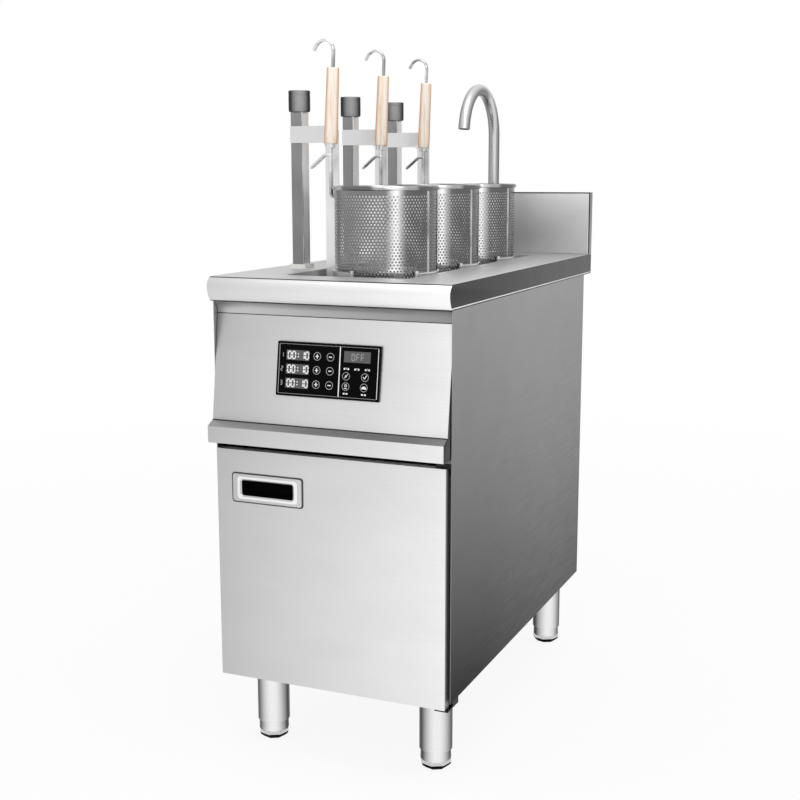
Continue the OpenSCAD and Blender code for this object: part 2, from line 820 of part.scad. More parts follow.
module terminal_block() {
    color([0.30, 0.30, 0.32]) set_back()
    translate([box_x, back_y - sheet, box_z + 2 * terminal_h / 3]) difference() {
        block([-box_w / 3, -terminal_h, 0], [box_w / 3, 0, terminal_h]);
        for (i = [-2:2]) translate([i * box_w / 8, -terminal_h - over, terminal_h / 2]) rotate([-90, 0, 0])
            cylinder(d = terminal_h / 3, h = terminal_h / 2);
    }
}

gland_bore = 13;
gland_hex = 28;
gland_l = 15;

module cable_gland() {
    color([0.20, 0.20, 0.21]) set_back()
    translate([gland_x, back_y, gland_z]) rotate([-90, 0, 0]) difference() {
        union() {
            translate([0, 0, -gland_l]) cylinder(d = gland_d, h = gland_l + sheet);
            translate([0, 0, sheet]) cylinder(d = gland_hex, h = gland_l / 2, $fn = 6);
            translate([0, 0, sheet + gland_l / 2]) cylinder(d = gland_d, h = gland_l / 2);
            translate([0, 0, -gland_l / 2]) cylinder(d = gland_hex, h = gland_l / 2, $fn = 6);
        }
        translate([0, 0, -gland_l - over]) cylinder(d = gland_bore, h = 3 * gland_l);
    }
}

// Water inlet through the back panel, solenoid valve, and pipe up to the faucet
fill_pipe_d = 12;
coil_h = 40;
coil_place_share = 0.75;
inlet_l = 22;
inlet_bore = 17.4;
inlet_collar_d = 34;
inlet_collar_h = 3;

module fill_valve() {
    coil_y = back_y - fill_d * coil_place_share;
    color([0.30, 0.34, 0.40]) set_back() {
        translate([inlet_x, back_y + sheet, inlet_z]) rotate([-90, 0, 0]) difference() {
            union() {
                translate([0, 0, -fill_d - 2 * sheet]) cylinder(d = fill_d, h = fill_d + 2 * sheet);
                cylinder(d = inlet_collar_d, h = inlet_collar_h);
                translate([0, 0, inlet_collar_h]) cylinder(d = inlet_d, h = inlet_l);
            }
            translate([0, 0, -2 * sheet])
                cylinder(d = inlet_bore, h = 2 * sheet + inlet_collar_h + inlet_l + over);
        }
        translate([inlet_x, coil_y, inlet_z - coil_h]) cylinder(d = fill_d, h = coil_h);
        translate([inlet_x, min(coil_y, faucet_y), inlet_z]) rotate([-90, 0, 0])
            cylinder(d = fill_pipe_d, h = abs(coil_y - faucet_y));
        translate([faucet_x, faucet_y, inlet_z]) rotate([0, 90, 0])
            cylinder(d = fill_pipe_d, h = inlet_x - faucet_x);
        translate([faucet_x, faucet_y, inlet_z]) sphere(d = fill_pipe_d);
        translate([faucet_x, faucet_y, inlet_z]) cylinder(d = fill_pipe_d, h = skirt_z - inlet_z);
    }
}

// Faucet: a fixed base with its shank below the worktop, and a swivelling spout
faucet_base_h = 16;
faucet_base_d = 30;
spigot_d = 15;
spigot_l = 12;
nut_h = 8;
spout_wall = 1.5;
spout_sweep = 173;

module faucet_base() {
    color([0.74, 0.74, 0.75]) set_back() translate([faucet_x, faucet_y, 0]) difference() {
        union() {
            translate([0, 0, top_z]) cylinder(d = faucet_base_d, h = faucet_base_h);
            translate([0, 0, skirt_z]) cylinder(d = shank_d, h = slab_h);
            translate([0, 0, deck_z - nut_h]) cylinder(d = faucet_base_d, h = nut_h, $fn = 6);
        }
        translate([0, 0, top_z + faucet_base_h - spigot_l - play])
            cylinder(d = spigot_d + 2 * run_play, h = spigot_l + play + over);
        translate([0, 0, skirt_z - over]) cylinder(d = shank_d / 2, h = slab_h + spigot_l);
    }
}

module faucet_spout() {
    color([0.78, 0.78, 0.79]) set_back() translate([faucet_x, faucet_y, 0]) {
        foot_z = top_z + faucet_base_h;
        translate([0, 0, foot_z]) difference() {
            cylinder(d = spout_d, h = top_z + spout_h - foot_z);
            translate([0, 0, -over]) cylinder(d = spout_d - 2 * spout_wall, h = spout_h + 2 * over);
        }
        translate([0, 0, foot_z - spigot_l]) difference() {
            cylinder(d = spigot_d, h = spigot_l + spout_wall);
            translate([0, 0, -over])
                cylinder(d = spigot_d - 2 * spout_wall, h = spigot_l + spout_wall + 2 * over);
        }
        translate([0, 0, foot_z]) difference() {
            cylinder(d = spout_d, h = spout_wall);
            translate([0, 0, -over]) cylinder(d = spigot_d - 2 * spout_wall, h = spout_wall + 2 * over);
        }
        translate([0, -spout_r, top_z + spout_h]) rotate([90, 0, 90]) rotate_extrude(angle = spout_sweep)
            translate([spout_r, 0]) difference() {
                circle(spout_d / 2);
                circle(spout_d / 2 - spout_wall);
            }
    }
}

// Legs with a threaded disc inside, and the feet that turn in them
leg_wall = 2;
thread_d = 16;
disc_h = 12;
disc_z = foot_h + 8;
leg_plate_w = 60;
leg_plate_t = 3;

module at_legs() {
    for (sx = [-1, 1], y = [leg_front, leg_front + leg_span]) translate([sx * leg_x, y, 0]) children();
}

module leg_tubes() {
    color([0.80, 0.80, 0.81]) set_back() at_legs() difference() {
        union() {
            translate([0, 0, foot_h]) cylinder(d = leg_d, h = base_z - foot_h);
            translate([0, 0, base_z - leg_plate_t / 2])
                cube([leg_plate_w, leg_plate_w, leg_plate_t], center = true);
        }
        translate([0, 0, foot_h - over]) cylinder(d = leg_d - 2 * leg_wall, h = disc_z - foot_h + over);
        translate([0, 0, disc_z + disc_h])
            cylinder(d = leg_d - 2 * leg_wall, h = base_z - leg_plate_t - disc_z - disc_h);
        translate([0, 0, disc_z - over]) cylinder(d = thread_d + 2 * run_play, h = disc_h + 2 * over);
    }
}

foot_top_share = 0.9;
foot_waist_share = 0.62;
foot_pad_share = 0.72;
foot_base_share = 0.42;
foot_pad_h = 3;
thread_l = 60;

module level_foot(sx, y) {
    color([0.78, 0.78, 0.79]) set_back() translate([sx * leg_x, y, 0]) {
        cylinder(d = leg_d * foot_pad_share, h = foot_pad_h);
        translate([0, 0, foot_pad_h]) intersection() {
            rotate([0, 0, 180 / 8]) cylinder(d = leg_d * foot_top_share, h = foot_h - foot_pad_h, $fn = 8);
            rotate_extrude() polygon([[0, 0], [leg_d * foot_top_share * foot_base_share, 0],
                [leg_d * foot_top_share / 2, (foot_h - foot_pad_h) / 2],
                [leg_d * foot_top_share / 2, foot_h - foot_pad_h], [0, foot_h - foot_pad_h]]);
        }
        translate([0, 0, foot_h * foot_waist_share])
            cylinder(d = leg_d * foot_top_share, h = foot_h * (1 - foot_waist_share));
        translate([0, 0, foot_h]) cylinder(d = thread_d, h = thread_l);
    }
}

// Lift guides: collars in the worktop and a lower rail on the left side panel
collar_h = 7;
collar_lip = 1.5;
collar_neck = 6;
guide_z = tank_z + rail;
guide_t = 3;
guide_in = post_right + rail / 2;

module guide_collars() {
    color([0.86, 0.86, 0.84]) set_back() difference() {
        union() {
            post_holes(hole_w + 2 * collar_lip, hole_d + 2 * collar_lip, top_z, top_z + collar_h);
            post_holes(hole_w, hole_d, deck_z - collar_neck, top_z + collar_h);
        }
        post_holes(post_w + 2 * play, post_d + 2 * play, deck_z - collar_neck - over,
            top_z + collar_h + over);
    }
}

module lift_guide_rail() {
    rail_front = lift_y(1) - rail;
    rail_rear = lift_y(3) + post_d + 2 * rail;
    color([0.50, 0.50, 0.52]) set_back() difference() {
        union() {
            block([-side_in, rail_front, guide_z], [guide_in, rail_rear, guide_z + guide_t]);
            block([-side_in, rail_front, guide_z - rail], [-side_in + guide_t, rail_rear, guide_z]);
        }
        post_holes(post_w + 2 * play, post_d + 2 * play, guide_z - over, guide_z + guide_t + over);
    }
}

// Posts: a tube with a closed foot and the actuator's rod below it
post_below = 40;
post_floor = 5;
post_foot_z = guide_z - post_below;
rod_d = 12;
rod_l = 2 * travel;
actuator_top = post_foot_z - travel - rail / 2;
actuator_d = 40;
motor_d = 34;
motor_h = 110;
gear_h = 22;

module lift_post(k) {
    cap_seat = post_z + cap_cover;
    color([0.55, 0.55, 0.56]) at_lift(k) translate([-post_x, post_set + post_d / 2, 0]) {
        difference() {
            block([-post_w / 2, -post_d / 2, post_foot_z], [post_w / 2, post_d / 2, cap_seat]);
            block([-post_w / 2 + post_wall, -post_d / 2 + post_wall, post_foot_z + post_floor],
                [post_w / 2 - post_wall, post_d / 2 - post_wall, cap_seat + over]);
        }
        translate([0, 0, post_foot_z - rod_l]) cylinder(d = rod_d, h = rod_l);
    }
}

module post_cap(k) {
    color([0.18, 0.18, 0.19]) at_lift(k) translate([-post_x, post_set + post_d / 2, post_z]) difference() {
        cylinder(d = cap_d, h = cap_h);
        block([-post_w / 2, -post_d / 2, -over], [post_w / 2, post_d / 2, cap_cover]);
    }
}

// Flag: a plate on the post's front, a strap down past the rim, and a foot below the basket
flag_cut = 8;
foot_in = basket_x + basket_r / 3;

module lift_flag(k) {
    color([0.68, 0.68, 0.68]) at_lift(k) {
        translate([0, post_set, 0]) rotate([90, 0, 0]) linear_extrude(flag_t) difference() {
            polygon([[post_left, flag_z], [post_left, flag_top], [strap_x - flag_cut, flag_top],
                [strap_x, flag_top - flag_cut], [strap_x, basket_z - flag_t],
                [strap_x - strap_w, basket_z - flag_t], [strap_x - strap_w, flag_z - flag_cut],
                [strap_x - strap_w - flag_cut, flag_z]]);
            translate([strap_x - strap_w - flag_cut, flag_z - flag_cut]) circle(flag_cut);
        }
        block([strap_x - strap_w, post_set - strap_w / 2, basket_z - flag_t],
            [foot_in, post_set + strap_w / 2, basket_z]);
    }
}

// Cradle: an open ring round the basket's lower wall, with a stop at each end
ring_play = 0.6;
ring_t = 2.4;
ring_h = 12;
ring_drop = 3;
ring_start = -33;
ring_turn = 289;
stop_d = 7;
stop_h = 18;

module cradle(k) {
    inner = basket_r + ring_play;
    ring_z = top_z + ring_drop - ring_h;
    color([0.72, 0.72, 0.72]) at_lift(k) difference() {
        union() {
            translate([basket_x, 0, ring_z]) rotate([0, 0, ring_start]) rotate_extrude(angle = ring_turn)
                translate([inner, 0]) square([ring_t, ring_h]);
            for (a = [ring_start, ring_start + ring_turn]) translate([basket_x, 0, 0]) rotate([0, 0, a])
                translate([inner + stop_d / 2, 0, ring_z - (stop_h - ring_h) / 2])
                    cylinder(d = stop_d, h = stop_h);
            block([strap_x, post_set - flag_t, ring_z],
                [basket_x - basket_r + flag_t, post_set, ring_z + ring_h]);
        }
        translate([basket_x, 0, ring_z - stop_h]) cylinder(r = inner, h = 3 * stop_h);
    }
}

module lift_actuators() {
    color([0.40, 0.42, 0.45]) set_back() for (k = [1:3])
        translate([-post_x, lift_y(k) + post_set + post_d / 2, 0]) difference() {
            union() {
                translate([0, 0, rail_z]) cylinder(d = actuator_d, h = actuator_top - rail_z);
                translate([(actuator_d + motor_d) / 2 + sheet, 0, rail_z + gear_h])
                    cylinder(d = motor_d, h = motor_h);
                block([0, -motor_d / 2, rail_z],
                    [actuator_d / 2 + sheet + motor_d, motor_d / 2, rail_z + gear_h]);
            }
            translate([0, 0, rail_z + gear_h / 2]) cylinder(d = rod_d + 2 * run_play, h = actuator_top);
        }
}

// Baskets, turned as one shell with its rolled rim; the wall's holes are left out
module basket(k) {
    wall_top = basket_h - rim_d / 2;
    color([0.74, 0.74, 0.74]) at_lift(k) translate([basket_x, 0, basket_z]) rotate_extrude() {
        square([basket_r, basket_wall]);
        translate([basket_r - basket_wall, 0]) square([basket_wall, wall_top]);
        translate([basket_r, wall_top]) circle(rim_d / 2);
    }
}

// Handle: two wires with a tab under the rim, a ferrule, and one wire up to the hook
tab_w = 18;
tab_h = 14;
tab_drop = 12;
ferrule_h = 6;
rest_drop = 18;
rest_run = 10;
rest_l = 26;
rest_turn = 132;
rest_gap = 12;
rest_d = 3.5;
rest_weld = 0.6;

module on_handle() {
    translate([basket_x, 0, 0]) rotate([0, 0, handle_turn]) translate([-handle_reach, 0, 0]) children();
}

module lean_grip() {
    translate([basket_x - handle_reach * cos(handle_turn), -handle_reach * sin(handle_turn), grip_z])
        rotate([0, grip_lean, 0]) children();
}

module basket_handle(k) {
    tab_z = rim_top - rim_d - tab_drop - tab_h / 2;
    color([0.82, 0.82, 0.82]) at_lift(k) {
        on_handle() {
            for (s = [-1, 1]) translate([0, s * wire_gap / 2, tab_z])
                cylinder(d = wire_d, h = grip_z - tab_z - ferrule_h / 2);
            block([0, -tab_w / 2, tab_z], [handle_reach - basket_r - run_play, tab_w / 2, tab_z + tab_h]);
            translate([0, 0, grip_z - rest_drop]) rest_loop();
        }
        lean_grip() {
            translate([0, 0, -ferrule_h]) cylinder(d = wire_gap + wire_d + 2 * sheet, h = ferrule_h);
            cylinder(d = wire_d, h = grip_l + hook_stem);
            translate([-hook_r, 0, grip_l + hook_stem]) wire_bend(hook_r, wire_d, 180);
            translate([-2 * hook_r, 0, grip_l + hook_stem - wire_d]) cylinder(d = wire_d, h = wire_d);
        }
    }
}

// Short loop below the grip that rests the lifted basket on an edge
module rest_loop() {
    for (s = [-1, 1]) translate([0, s * rest_gap / 2, 0]) {
        rotate([0, -90, 0]) cylinder(d = rest_d, h = rest_run);
        translate([-rest_run, 0, 0]) sphere(d = rest_d + rest_weld);
    }
    rotate([90, 0, 0]) cylinder(d = rest_d, h = rest_gap, center = true);
    translate([-rest_run, 0, 0]) rotate([0, -rest_turn, 0]) {
        for (s = [-1, 1]) translate([0, s * rest_gap / 2, 0]) cylinder(d = rest_d, h = rest_l);
        translate([0, 0, rest_l]) rotate([90, 0, 90]) rotate_extrude(angle = 180)
            translate([rest_gap / 2, 0]) circle(rest_d / 2);
    }
}

module basket_grip(k) {
    color([0.87, 0.72, 0.58]) at_lift(k) lean_grip() rotate_extrude() {
        bore = wire_d / 2 + run_play;
        polygon([[bore, 0], [grip_d / 2 - sheet, 0], [grip_d / 2, sheet], [grip_d / 2, grip_l / 4],
            [grip_top_d / 2, grip_l - sheet], [grip_top_d / 2 - sheet, grip_l], [bore, grip_l]]);
    }
}

worktop();
splashback();
left_side_panel();
right_side_panel();
back_panel();
bottom_panel();
base_frame();
top_frame();
front_fascia();
front_ledge();
touch_glass();
control_unit();
door_skin();
door_liner();
door_pull();
door_hinges();
door_magnet();
tank();
tank_grid();
heating_tubes();
overflow_pipe();
drain_pipe();
drain_valve();
drain_lever();
thermostat_probe();
power_box();
power_parts();
cable_gland();
fill_valve();
faucet_base();
faucet_spout();
leg_tubes();
level_foot(-1, leg_front);  // level_foot_1
level_foot(1, leg_front);  // level_foot_2
level_foot(-1, leg_front + leg_span);  // level_foot_3
level_foot(1, leg_front + leg_span);  // level_foot_4
guide_collars();
lift_guide_rail();
lift_actuators();
lift_post(1);  // lift_post_1
lift_post(2);  // lift_post_2
lift_post(3);  // lift_post_3
post_cap(1);  // post_cap_1
post_cap(2);  // post_cap_2
post_cap(3);  // post_cap_3
lift_flag(1);  // lift_flag_1
lift_flag(2);  // lift_flag_2
lift_flag(3);  // lift_flag_3
cradle(1);  // cradle_1
cradle(2);  // cradle_2
cradle(3);  // cradle_3
basket(1);  // basket_1
basket(2);  // basket_2
basket(3);  // basket_3
basket_handle(1);  // basket_handle_1
basket_handle(2);  // basket_handle_2
basket_handle(3);  // basket_handle_3
basket_grip(1);  // basket_grip_1
basket_grip(2);  // basket_grip_2
basket_grip(3);  // basket_grip_3
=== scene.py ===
"""Pasta cooker: the visual model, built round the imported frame.

Metres, X to the right, Y to the back, Z up, origin on the floor below the middle.
"""

import math

import bmesh
import bpy
from mathutils import Matrix, Vector


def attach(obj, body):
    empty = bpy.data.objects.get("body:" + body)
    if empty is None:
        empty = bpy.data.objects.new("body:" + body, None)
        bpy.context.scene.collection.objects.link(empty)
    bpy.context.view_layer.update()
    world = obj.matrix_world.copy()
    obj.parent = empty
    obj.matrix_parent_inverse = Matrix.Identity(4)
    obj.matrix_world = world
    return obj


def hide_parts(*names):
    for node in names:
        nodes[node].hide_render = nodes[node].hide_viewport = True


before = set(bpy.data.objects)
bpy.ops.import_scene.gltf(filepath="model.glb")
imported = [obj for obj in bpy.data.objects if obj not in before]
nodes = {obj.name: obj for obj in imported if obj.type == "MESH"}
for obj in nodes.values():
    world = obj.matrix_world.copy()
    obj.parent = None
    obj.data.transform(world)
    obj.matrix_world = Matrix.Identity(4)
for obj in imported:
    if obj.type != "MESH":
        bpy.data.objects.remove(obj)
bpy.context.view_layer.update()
scene = bpy.context.scene
MM = 0.001

# Sizes of the real cooker, in millimetres. FRONT is the cabinet's front plane
FRONT = -363.5
BACK_Y = FRONT + 711
HALF_W = 200
TOP_Z = 774
SKIRT_Z = 736
SPLASH_TOP = 893
DOOR_FACE = FRONT - 9.6
PULL_X = -103.7
PULL_Z = 445.5
PULL_W = 124.5
PULL_H = 48

# Where a sheet's finish changes at a fold or hem, with painted shade lines at folds, painted highlight
# lines at hems and black painted shade below the ledge: heights, and widths in from an edge
TOP_FOLD = (TOP_Z - 1.8, TOP_Z - 0.3)
SKIRT_FOLD = SKIRT_Z + 1.5
SKIRT_SHADE_LINE = SKIRT_Z + 2.0
SKIRT_HEM = SKIRT_Z + 3.8
SPLASH_SHADE_LINE = 2.5
SPLASH_HEM = 4
COVE_FOLD = (715.6, 716.9)
LEDGE_FOLD = 550.6
LEDGE_LIP = 517.3
LEDGE_FLANGE = 508.6

# The sloping fascia and its glass, from which the prints stand off
SLOPE_FOOT_Y = FRONT - 13
SLOPE_FOOT_Z = 552
SLOPE_LEAN = math.atan2(23, 164.5)
GLASS_TOP = 3.0
INK_FOOT = GLASS_TOP - 0.1
INK_TOP = GLASS_TOP + 0.15
DIGIT_LIFT = 0.1

# Lifts, baskets and handles
LIFTS = (1, 2, 3)
LIFT_FIRST_Y = FRONT + 180
LIFT_STEP = 195
POST_X = -148.5
POST_Y = 21.75
CAP_R = 17.7
CAP_FOOT = 1028
CAP_H = 34
BASKET_X = 15
BASKET_R = 82
BASKET_Z = 741
WALL = 1.0
RIM_TOP = 910
RIM_R = 3.5
HOLE_R = 1.8
HOLES_ROUND = 94
HOLE_ROWS = 31
PITCH = 2 * math.pi * BASKET_R / HOLES_ROUND
ROW_STEP = PITCH * math.sqrt(3) / 2
FIELD_Z = 749
FIELD_H = HOLE_ROWS * ROW_STEP
LOW_BAND = 3
HIGH_BAND = RIM_TOP - 2 * RIM_R + 1 - FIELD_Z - FIELD_H
BASE_COLUMNS = 31
BASE_ROWS = 35
BASE_REACH = 73
WELD_TURN = math.radians(-13)
WELD_Z = 825
WELD_L = 154
HANDLE_TURN = math.radians(14)
HANDLE_REACH = 88.3
ARM_Z = 893
ARM_WIRE_R = 2.5
ARM_GAP = 4
ELBOW_R = 5
FERRULE_R = 8
GRIP_Z = 976
GRIP_L = 117
GRIP_LEAN = math.radians(2.5)
HOOK_R = 16
HOOK_END = 150
HOOK_WIRE_R = 2.1
HOOK_TIP_R = 3.0
LOOP_Z = 958
LOOP_L = 22
LOOP_R = 6
LOOP_WIRE_R = 2.1
LOOP_DIP = math.radians(42)

# Faucet, legs, feet and rear screws
FAUCET = (18, 330.4)
SPOUT_FOOT = 790
SPOUT_R = 10.5
SPOUT_BORE_R = 9
BEND_Z = 998
BEND_R = 84
LEGS = ((-146, 74), (146, 74), (-146, 678), (146, 678))
LEG_R = 26.5
LEG_BORE_R = 24.9
LEG_TOP = 140
FOOT_H = 31
FOOT_TURN = math.radians(6)
SCREW_X = 189.5
SCREW_FOOT = 190
SCREW_STEP = 125

# Bearings from X, in degrees, and the side at which round pieces have their painted light bands:
# painted reflections on steel, a painted sheen on rubber, the lit side of wood
TUBE_LIT = -65
CAP_LIT = -62
BASKET_LIT = -55
LIT_SIDE = Vector((0.3, -0.9, 0.4))


def lift_y(k):
    """The place along Y of a lift and its basket, counted from the front."""
    return LIFT_FIRST_Y + LIFT_STEP * (k - 1)


def mm(x, y, z):
    """A point of the part's own frame, given in millimetres."""
    return Vector((x, y, z)) * MM


def linear(colour):
    """sRGB hex to linear RGBA."""
    parts = [int(colour[i : i + 2], 16) / 255 for i in (0, 2, 4)]
    return (*[c / 12.92 if c <= 0.04045 else ((c + 0.055) / 1.055) ** 2.4 for c in parts], 1)


def add_node(tree, kind, given=None):
    """Adds a node. Given names its properties and sockets, each with a value or with what feeds it.

    What feeds a socket is another socket, or a node, which stands for its first output.
    """
    made = tree.nodes.new(kind)
    for key, value in (given or {}).items():
        if isinstance(value, bpy.types.Node):
            value = value.outputs[0]
        if isinstance(value, bpy.types.NodeSocket):
            tree.links.new(value, made.inputs[key])
        elif isinstance(key, str) and key in made.bl_rna.properties:
            setattr(made, key, value)
        else:
            made.inputs[key].default_value = value
    return made


# Materials. Brushing runs in lines; a real line is some 0.1 mm wide, too fine to show,
# so it is drawn 1.2 mm wide and 70 mm long. Sizes are in mm along X, Y and Z
ACROSS, ALONG, UPRIGHT = (70, 1.2, 1.2), (1.2, 70, 1.2), (1.2, 1.2, 70)
AROUND = (30, 30, 1.2)
CLOUDS = (120, 60, 60)
SMEARS = (50, 50, 50)
# The range that most of a noise lies in
EVEN = (0.3, 0.7)


def new_material(name, colour, metallic, roughness, more=None):
    """A material, its node tree, its Principled shader and its Object coordinates."""
    material = bpy.data.materials.new(name)
    material.use_nodes = True
    tree = material.node_tree
    shader = tree.nodes["Principled BSDF"]
    shader.inputs["Base Color"].default_value = linear(colour)
    shader.inputs["Metallic"].default_value = metallic
    shader.inputs["Roughness"].default_value = roughness
    for key, value in (more or {}).items():
        shader.inputs[key].default_value = value
    place = add_node(tree, "ShaderNodeTexCoord").outputs["Object"]
    return material, tree, shader, place


def grain(tree, place, size, detail=2.0):
    """A noise whose features have the given size in mm along X, Y and Z."""
    scale = [1 / (s * MM) for s in size]
    mapped = add_node(tree, "ShaderNodeMapping", {"Scale": scale, "Vector": place})
    noise = {"Scale": 1.0, "Detail": detail, "Vector": mapped}
    return add_node(tree, "ShaderNodeTexNoise", noise).outputs["Fac"]


def tint(colour):
    """A colour as a node takes it: hex is turned to linear, and a socket stays as it is."""
    return linear(colour) if isinstance(colour, str) else colour


def drift(tree, value, ends, first, second):
    """A colour that runs from the first to the second while the value passes its ends."""
    share = add_node(tree, "ShaderNodeMapRange", {
        "From Min": ends[0], "From Max": ends[1], "Value": value})
    mix = {"data_type": "RGBA", 0: share, 6: tint(first), 7: tint(second)}
    return add_node(tree, "ShaderNodeMix", mix).outputs[2]


def uneven_colour(tree, colour, pattern, amount):
    """Lets a pattern lighten and darken a colour by a share of it."""
    level = add_node(tree, "ShaderNodeMapRange", {
        "From Min": EVEN[0], "From Max": EVEN[1], "To Min": 1 - amount, "To Max": 1 + amount,
        "Value": pattern})
    return add_node(tree, "ShaderNodeVectorMath", {
        "operation": "SCALE", 0: colour, "Scale": level}).outputs[0]


def skin(tree, shader, colour, pattern, roughness, spread, depth, strength=0.12):
    """Puts a colour on the shader, and a pattern's roughness and relief of a depth in mm."""
    rough = add_node(tree, "ShaderNodeMapRange", {
        "From Min": EVEN[0], "From Max": EVEN[1], "To Min": roughness - spread,
        "To Max": roughness + spread, "Value": pattern})
    relief = add_node(tree, "ShaderNodeBump", {
        "Strength": strength, "Distance": depth * MM, "Height": pattern})
    for source, socket in ((colour, "Base Color"), (rough.outputs[0], "Roughness"),
                           (relief.outputs[0], "Normal")):
        tree.links.new(source, shader.inputs[socket])


def sheet_steel(name, tones, span, direction, roughness, uneven=0.02):
    """Satin-brushed stainless sheet: fine parallel lines, and a tone that drifts along a span in mm, on
    most sheets a painted light and shade.
    """
    axis, low, high = span
    material, tree, shader, place = new_material(name, tones[1], 1.0, roughness)
    where = add_node(tree, "ShaderNodeSeparateXYZ", {0: place}).outputs[axis]
    lines = grain(tree, place, direction)
    clouds = grain(tree, place, CLOUDS, 1.0)
    tone = drift(tree, where, (low * MM, high * MM), *tones)
    tone = uneven_colour(tree, tone, lines, uneven)
    tone = uneven_colour(tree, tone, clouds, uneven)
    skin(tree, shader, tone, lines, roughness, 0.05, 0.1)
    return material


def bright_steel(name, colour, roughness):
    """Polished stainless: sharp reflections, drawing marks and faint smears from handling."""
    material, tree, shader, place = new_material(name, colour, 1.0, roughness)
    marks = grain(tree, place, UPRIGHT)
    smears = grain(tree, place, (40, 40, 40), 3.0)
    tone = drift(tree, smears, EVEN, colour, "f6f6f6")
    tone = uneven_colour(tree, tone, marks, 0.04)
    skin(tree, shader, tone, smears, roughness, 0.04, 0.05, 0.05)
    return material


def round_steel(name, tones, ends, roughness, size):
    """Round stainless, with its reflections painted on as upright light and dark bands in its tone.

    The attribute band runs from 0 to 1 and back round the piece. The tone passes from
    dark to light between its ends.
    """
    material, tree, shader, place = new_material(name, tones[1], 1.0, roughness)
    band = add_node(tree, "ShaderNodeAttribute", {"attribute_name": "band"}).outputs["Fac"]
    marks = grain(tree, place, size)
    tone = drift(tree, band, ends, *tones)
    tone = uneven_colour(tree, tone, marks, 0.02)
    skin(tree, shader, tone, marks, roughness, 0.04, 0.05, 0.05)
    return material


def coated(name, colour, roughness, speck=3.0, uneven=0.06, more=None, metallic=0.0):
    """Plastic, powder coat, rubber, ink or plate: an even colour with a fine skin of specks."""
    material, tree, shader, place = new_material(name, colour, metallic, roughness, more)
    specks = grain(tree, place, (speck, speck, speck))
    tone = uneven_colour(tree, linear(colour)[:3], specks, uneven)
    skin(tree, shader, tone, specks, roughness, 0.05, 0.08, 0.1)
    return material


def turned_rubber():
    """Moulded rubber cap: black and matt, with a painted sheen that stands as an upright grey band."""
    material, tree, shader, place = new_material(
        "moulded rubber cap", "38393b", 0.0, 0.5, {"Specular IOR Level": 0.25})
    band = add_node(tree, "ShaderNodeAttribute", {"attribute_name": "band"}).outputs["Fac"]
    specks = grain(tree, place, (3.5, 3.5, 3.5))
    tone = uneven_colour(tree, drift(tree, band, (0.35, 1.05), "141516", "a8a8aa"), specks, 0.08)
    skin(tree, shader, tone, specks, 0.5, 0.05, 0.08, 0.1)
    return material


def turned_wood():
    """Turned beech, bare: pale pinkish tan, with long pores and darker streaks along the grip.

    Its flanks are painted a little darker than the lit middle, a painted shade that the attribute band
    tells.
    """
    material, tree, shader, place = new_material("turned beech", "f3dcc6", 0.0, 0.55, {"IOR": 1.5})
    band = add_node(tree, "ShaderNodeAttribute", {"attribute_name": "band"}).outputs["Fac"]
    figure = grain(tree, place, (4, 4, 90), 3.0)
    pores = grain(tree, place, (0.9, 0.9, 30))
    tone = drift(tree, figure, (0.5, 0.74), "fff6ea", "f2c698")
    tone = drift(tree, pores, (0.6, 0.8), tone, "d8945f")
    tone = drift(tree, band, (0.05, 0.7), "d49660", tone)
    skin(tree, shader, tone, pores, 0.55, 0.05, 0.1, 0.15)
    return material


# The casing's sheets are satin-brushed 1.5 mm stainless: matt. Each kind of face gets a lit or shaded
# copy of it, with painted light and shade as a drift of tone: front lighter to the right, nosing
# lighter still, cove and slope darker and darker still to the right, sides dark and darkest at the
# bottom, ends and returns darker, the worktop lighter at the front and the splashback lighter at the
# top
FRONT_STEEL = sheet_steel(
    "brushed stainless front", ("c3c3c3", "f3f3f3"), ("X", -205, 205), ACROSS, 0.42)
NOSE_STEEL = sheet_steel(
    "brushed stainless nosing, painted light", ("dadada", "ffffff"), ("X", -205, 205), ACROSS, 0.42)
COVE_STEEL = sheet_steel(
    "brushed stainless cove, painted shade", ("cfcfcf", "949494"), ("X", -200, 200), ACROSS, 0.42)
SLOPE_STEEL = sheet_steel(
    "brushed stainless slope, painted shade", ("a2a2a2", "6c6c6c"), ("X", -200, 200), ACROSS, 0.42)
SIDE_STEEL = sheet_steel(
    "brushed stainless side, painted shade", ("1e1e1e", "acacac"), ("Z", 150, 760), ALONG, 0.45)
EDGE_STEEL = sheet_steel(
    "brushed stainless end, painted shade", ("4a4a4a", "565656"), ("Y", FRONT, 390), UPRIGHT, 0.45)
RETURN_STEEL = sheet_steel(
    "brushed stainless return, painted shade", ("9a9a9a", "a4a4a4"), ("Z", 140, 780), UPRIGHT, 0.5)
TOP_STEEL = sheet_steel(
    "brushed stainless worktop", ("dcdcdc", "bcbcbc"), ("Y", -380, 390), ALONG, 0.44)
SPLASH_STEEL = sheet_steel(
    "brushed stainless splashback", ("d8d8d8", "ffffff"), ("Z", TOP_Z, SPLASH_TOP), ACROSS, 0.5)
# Drawn tube has stronger lines and more gloss, and the post is written darker than the casing, a
# painted shade;
# the laser-cut plates on it are paler
POST_STEEL = sheet_steel(
    "drawn stainless post", ("828282", "909090"), ("Z", TOP_Z, 1030), UPRIGHT, 0.26, 0.08)
FLAG_STEEL = sheet_steel(
    "brushed stainless plate", ("f4f4f4", "e2e2e2"), ("Z", 740, 1010), UPRIGHT, 0.36, 0.03)
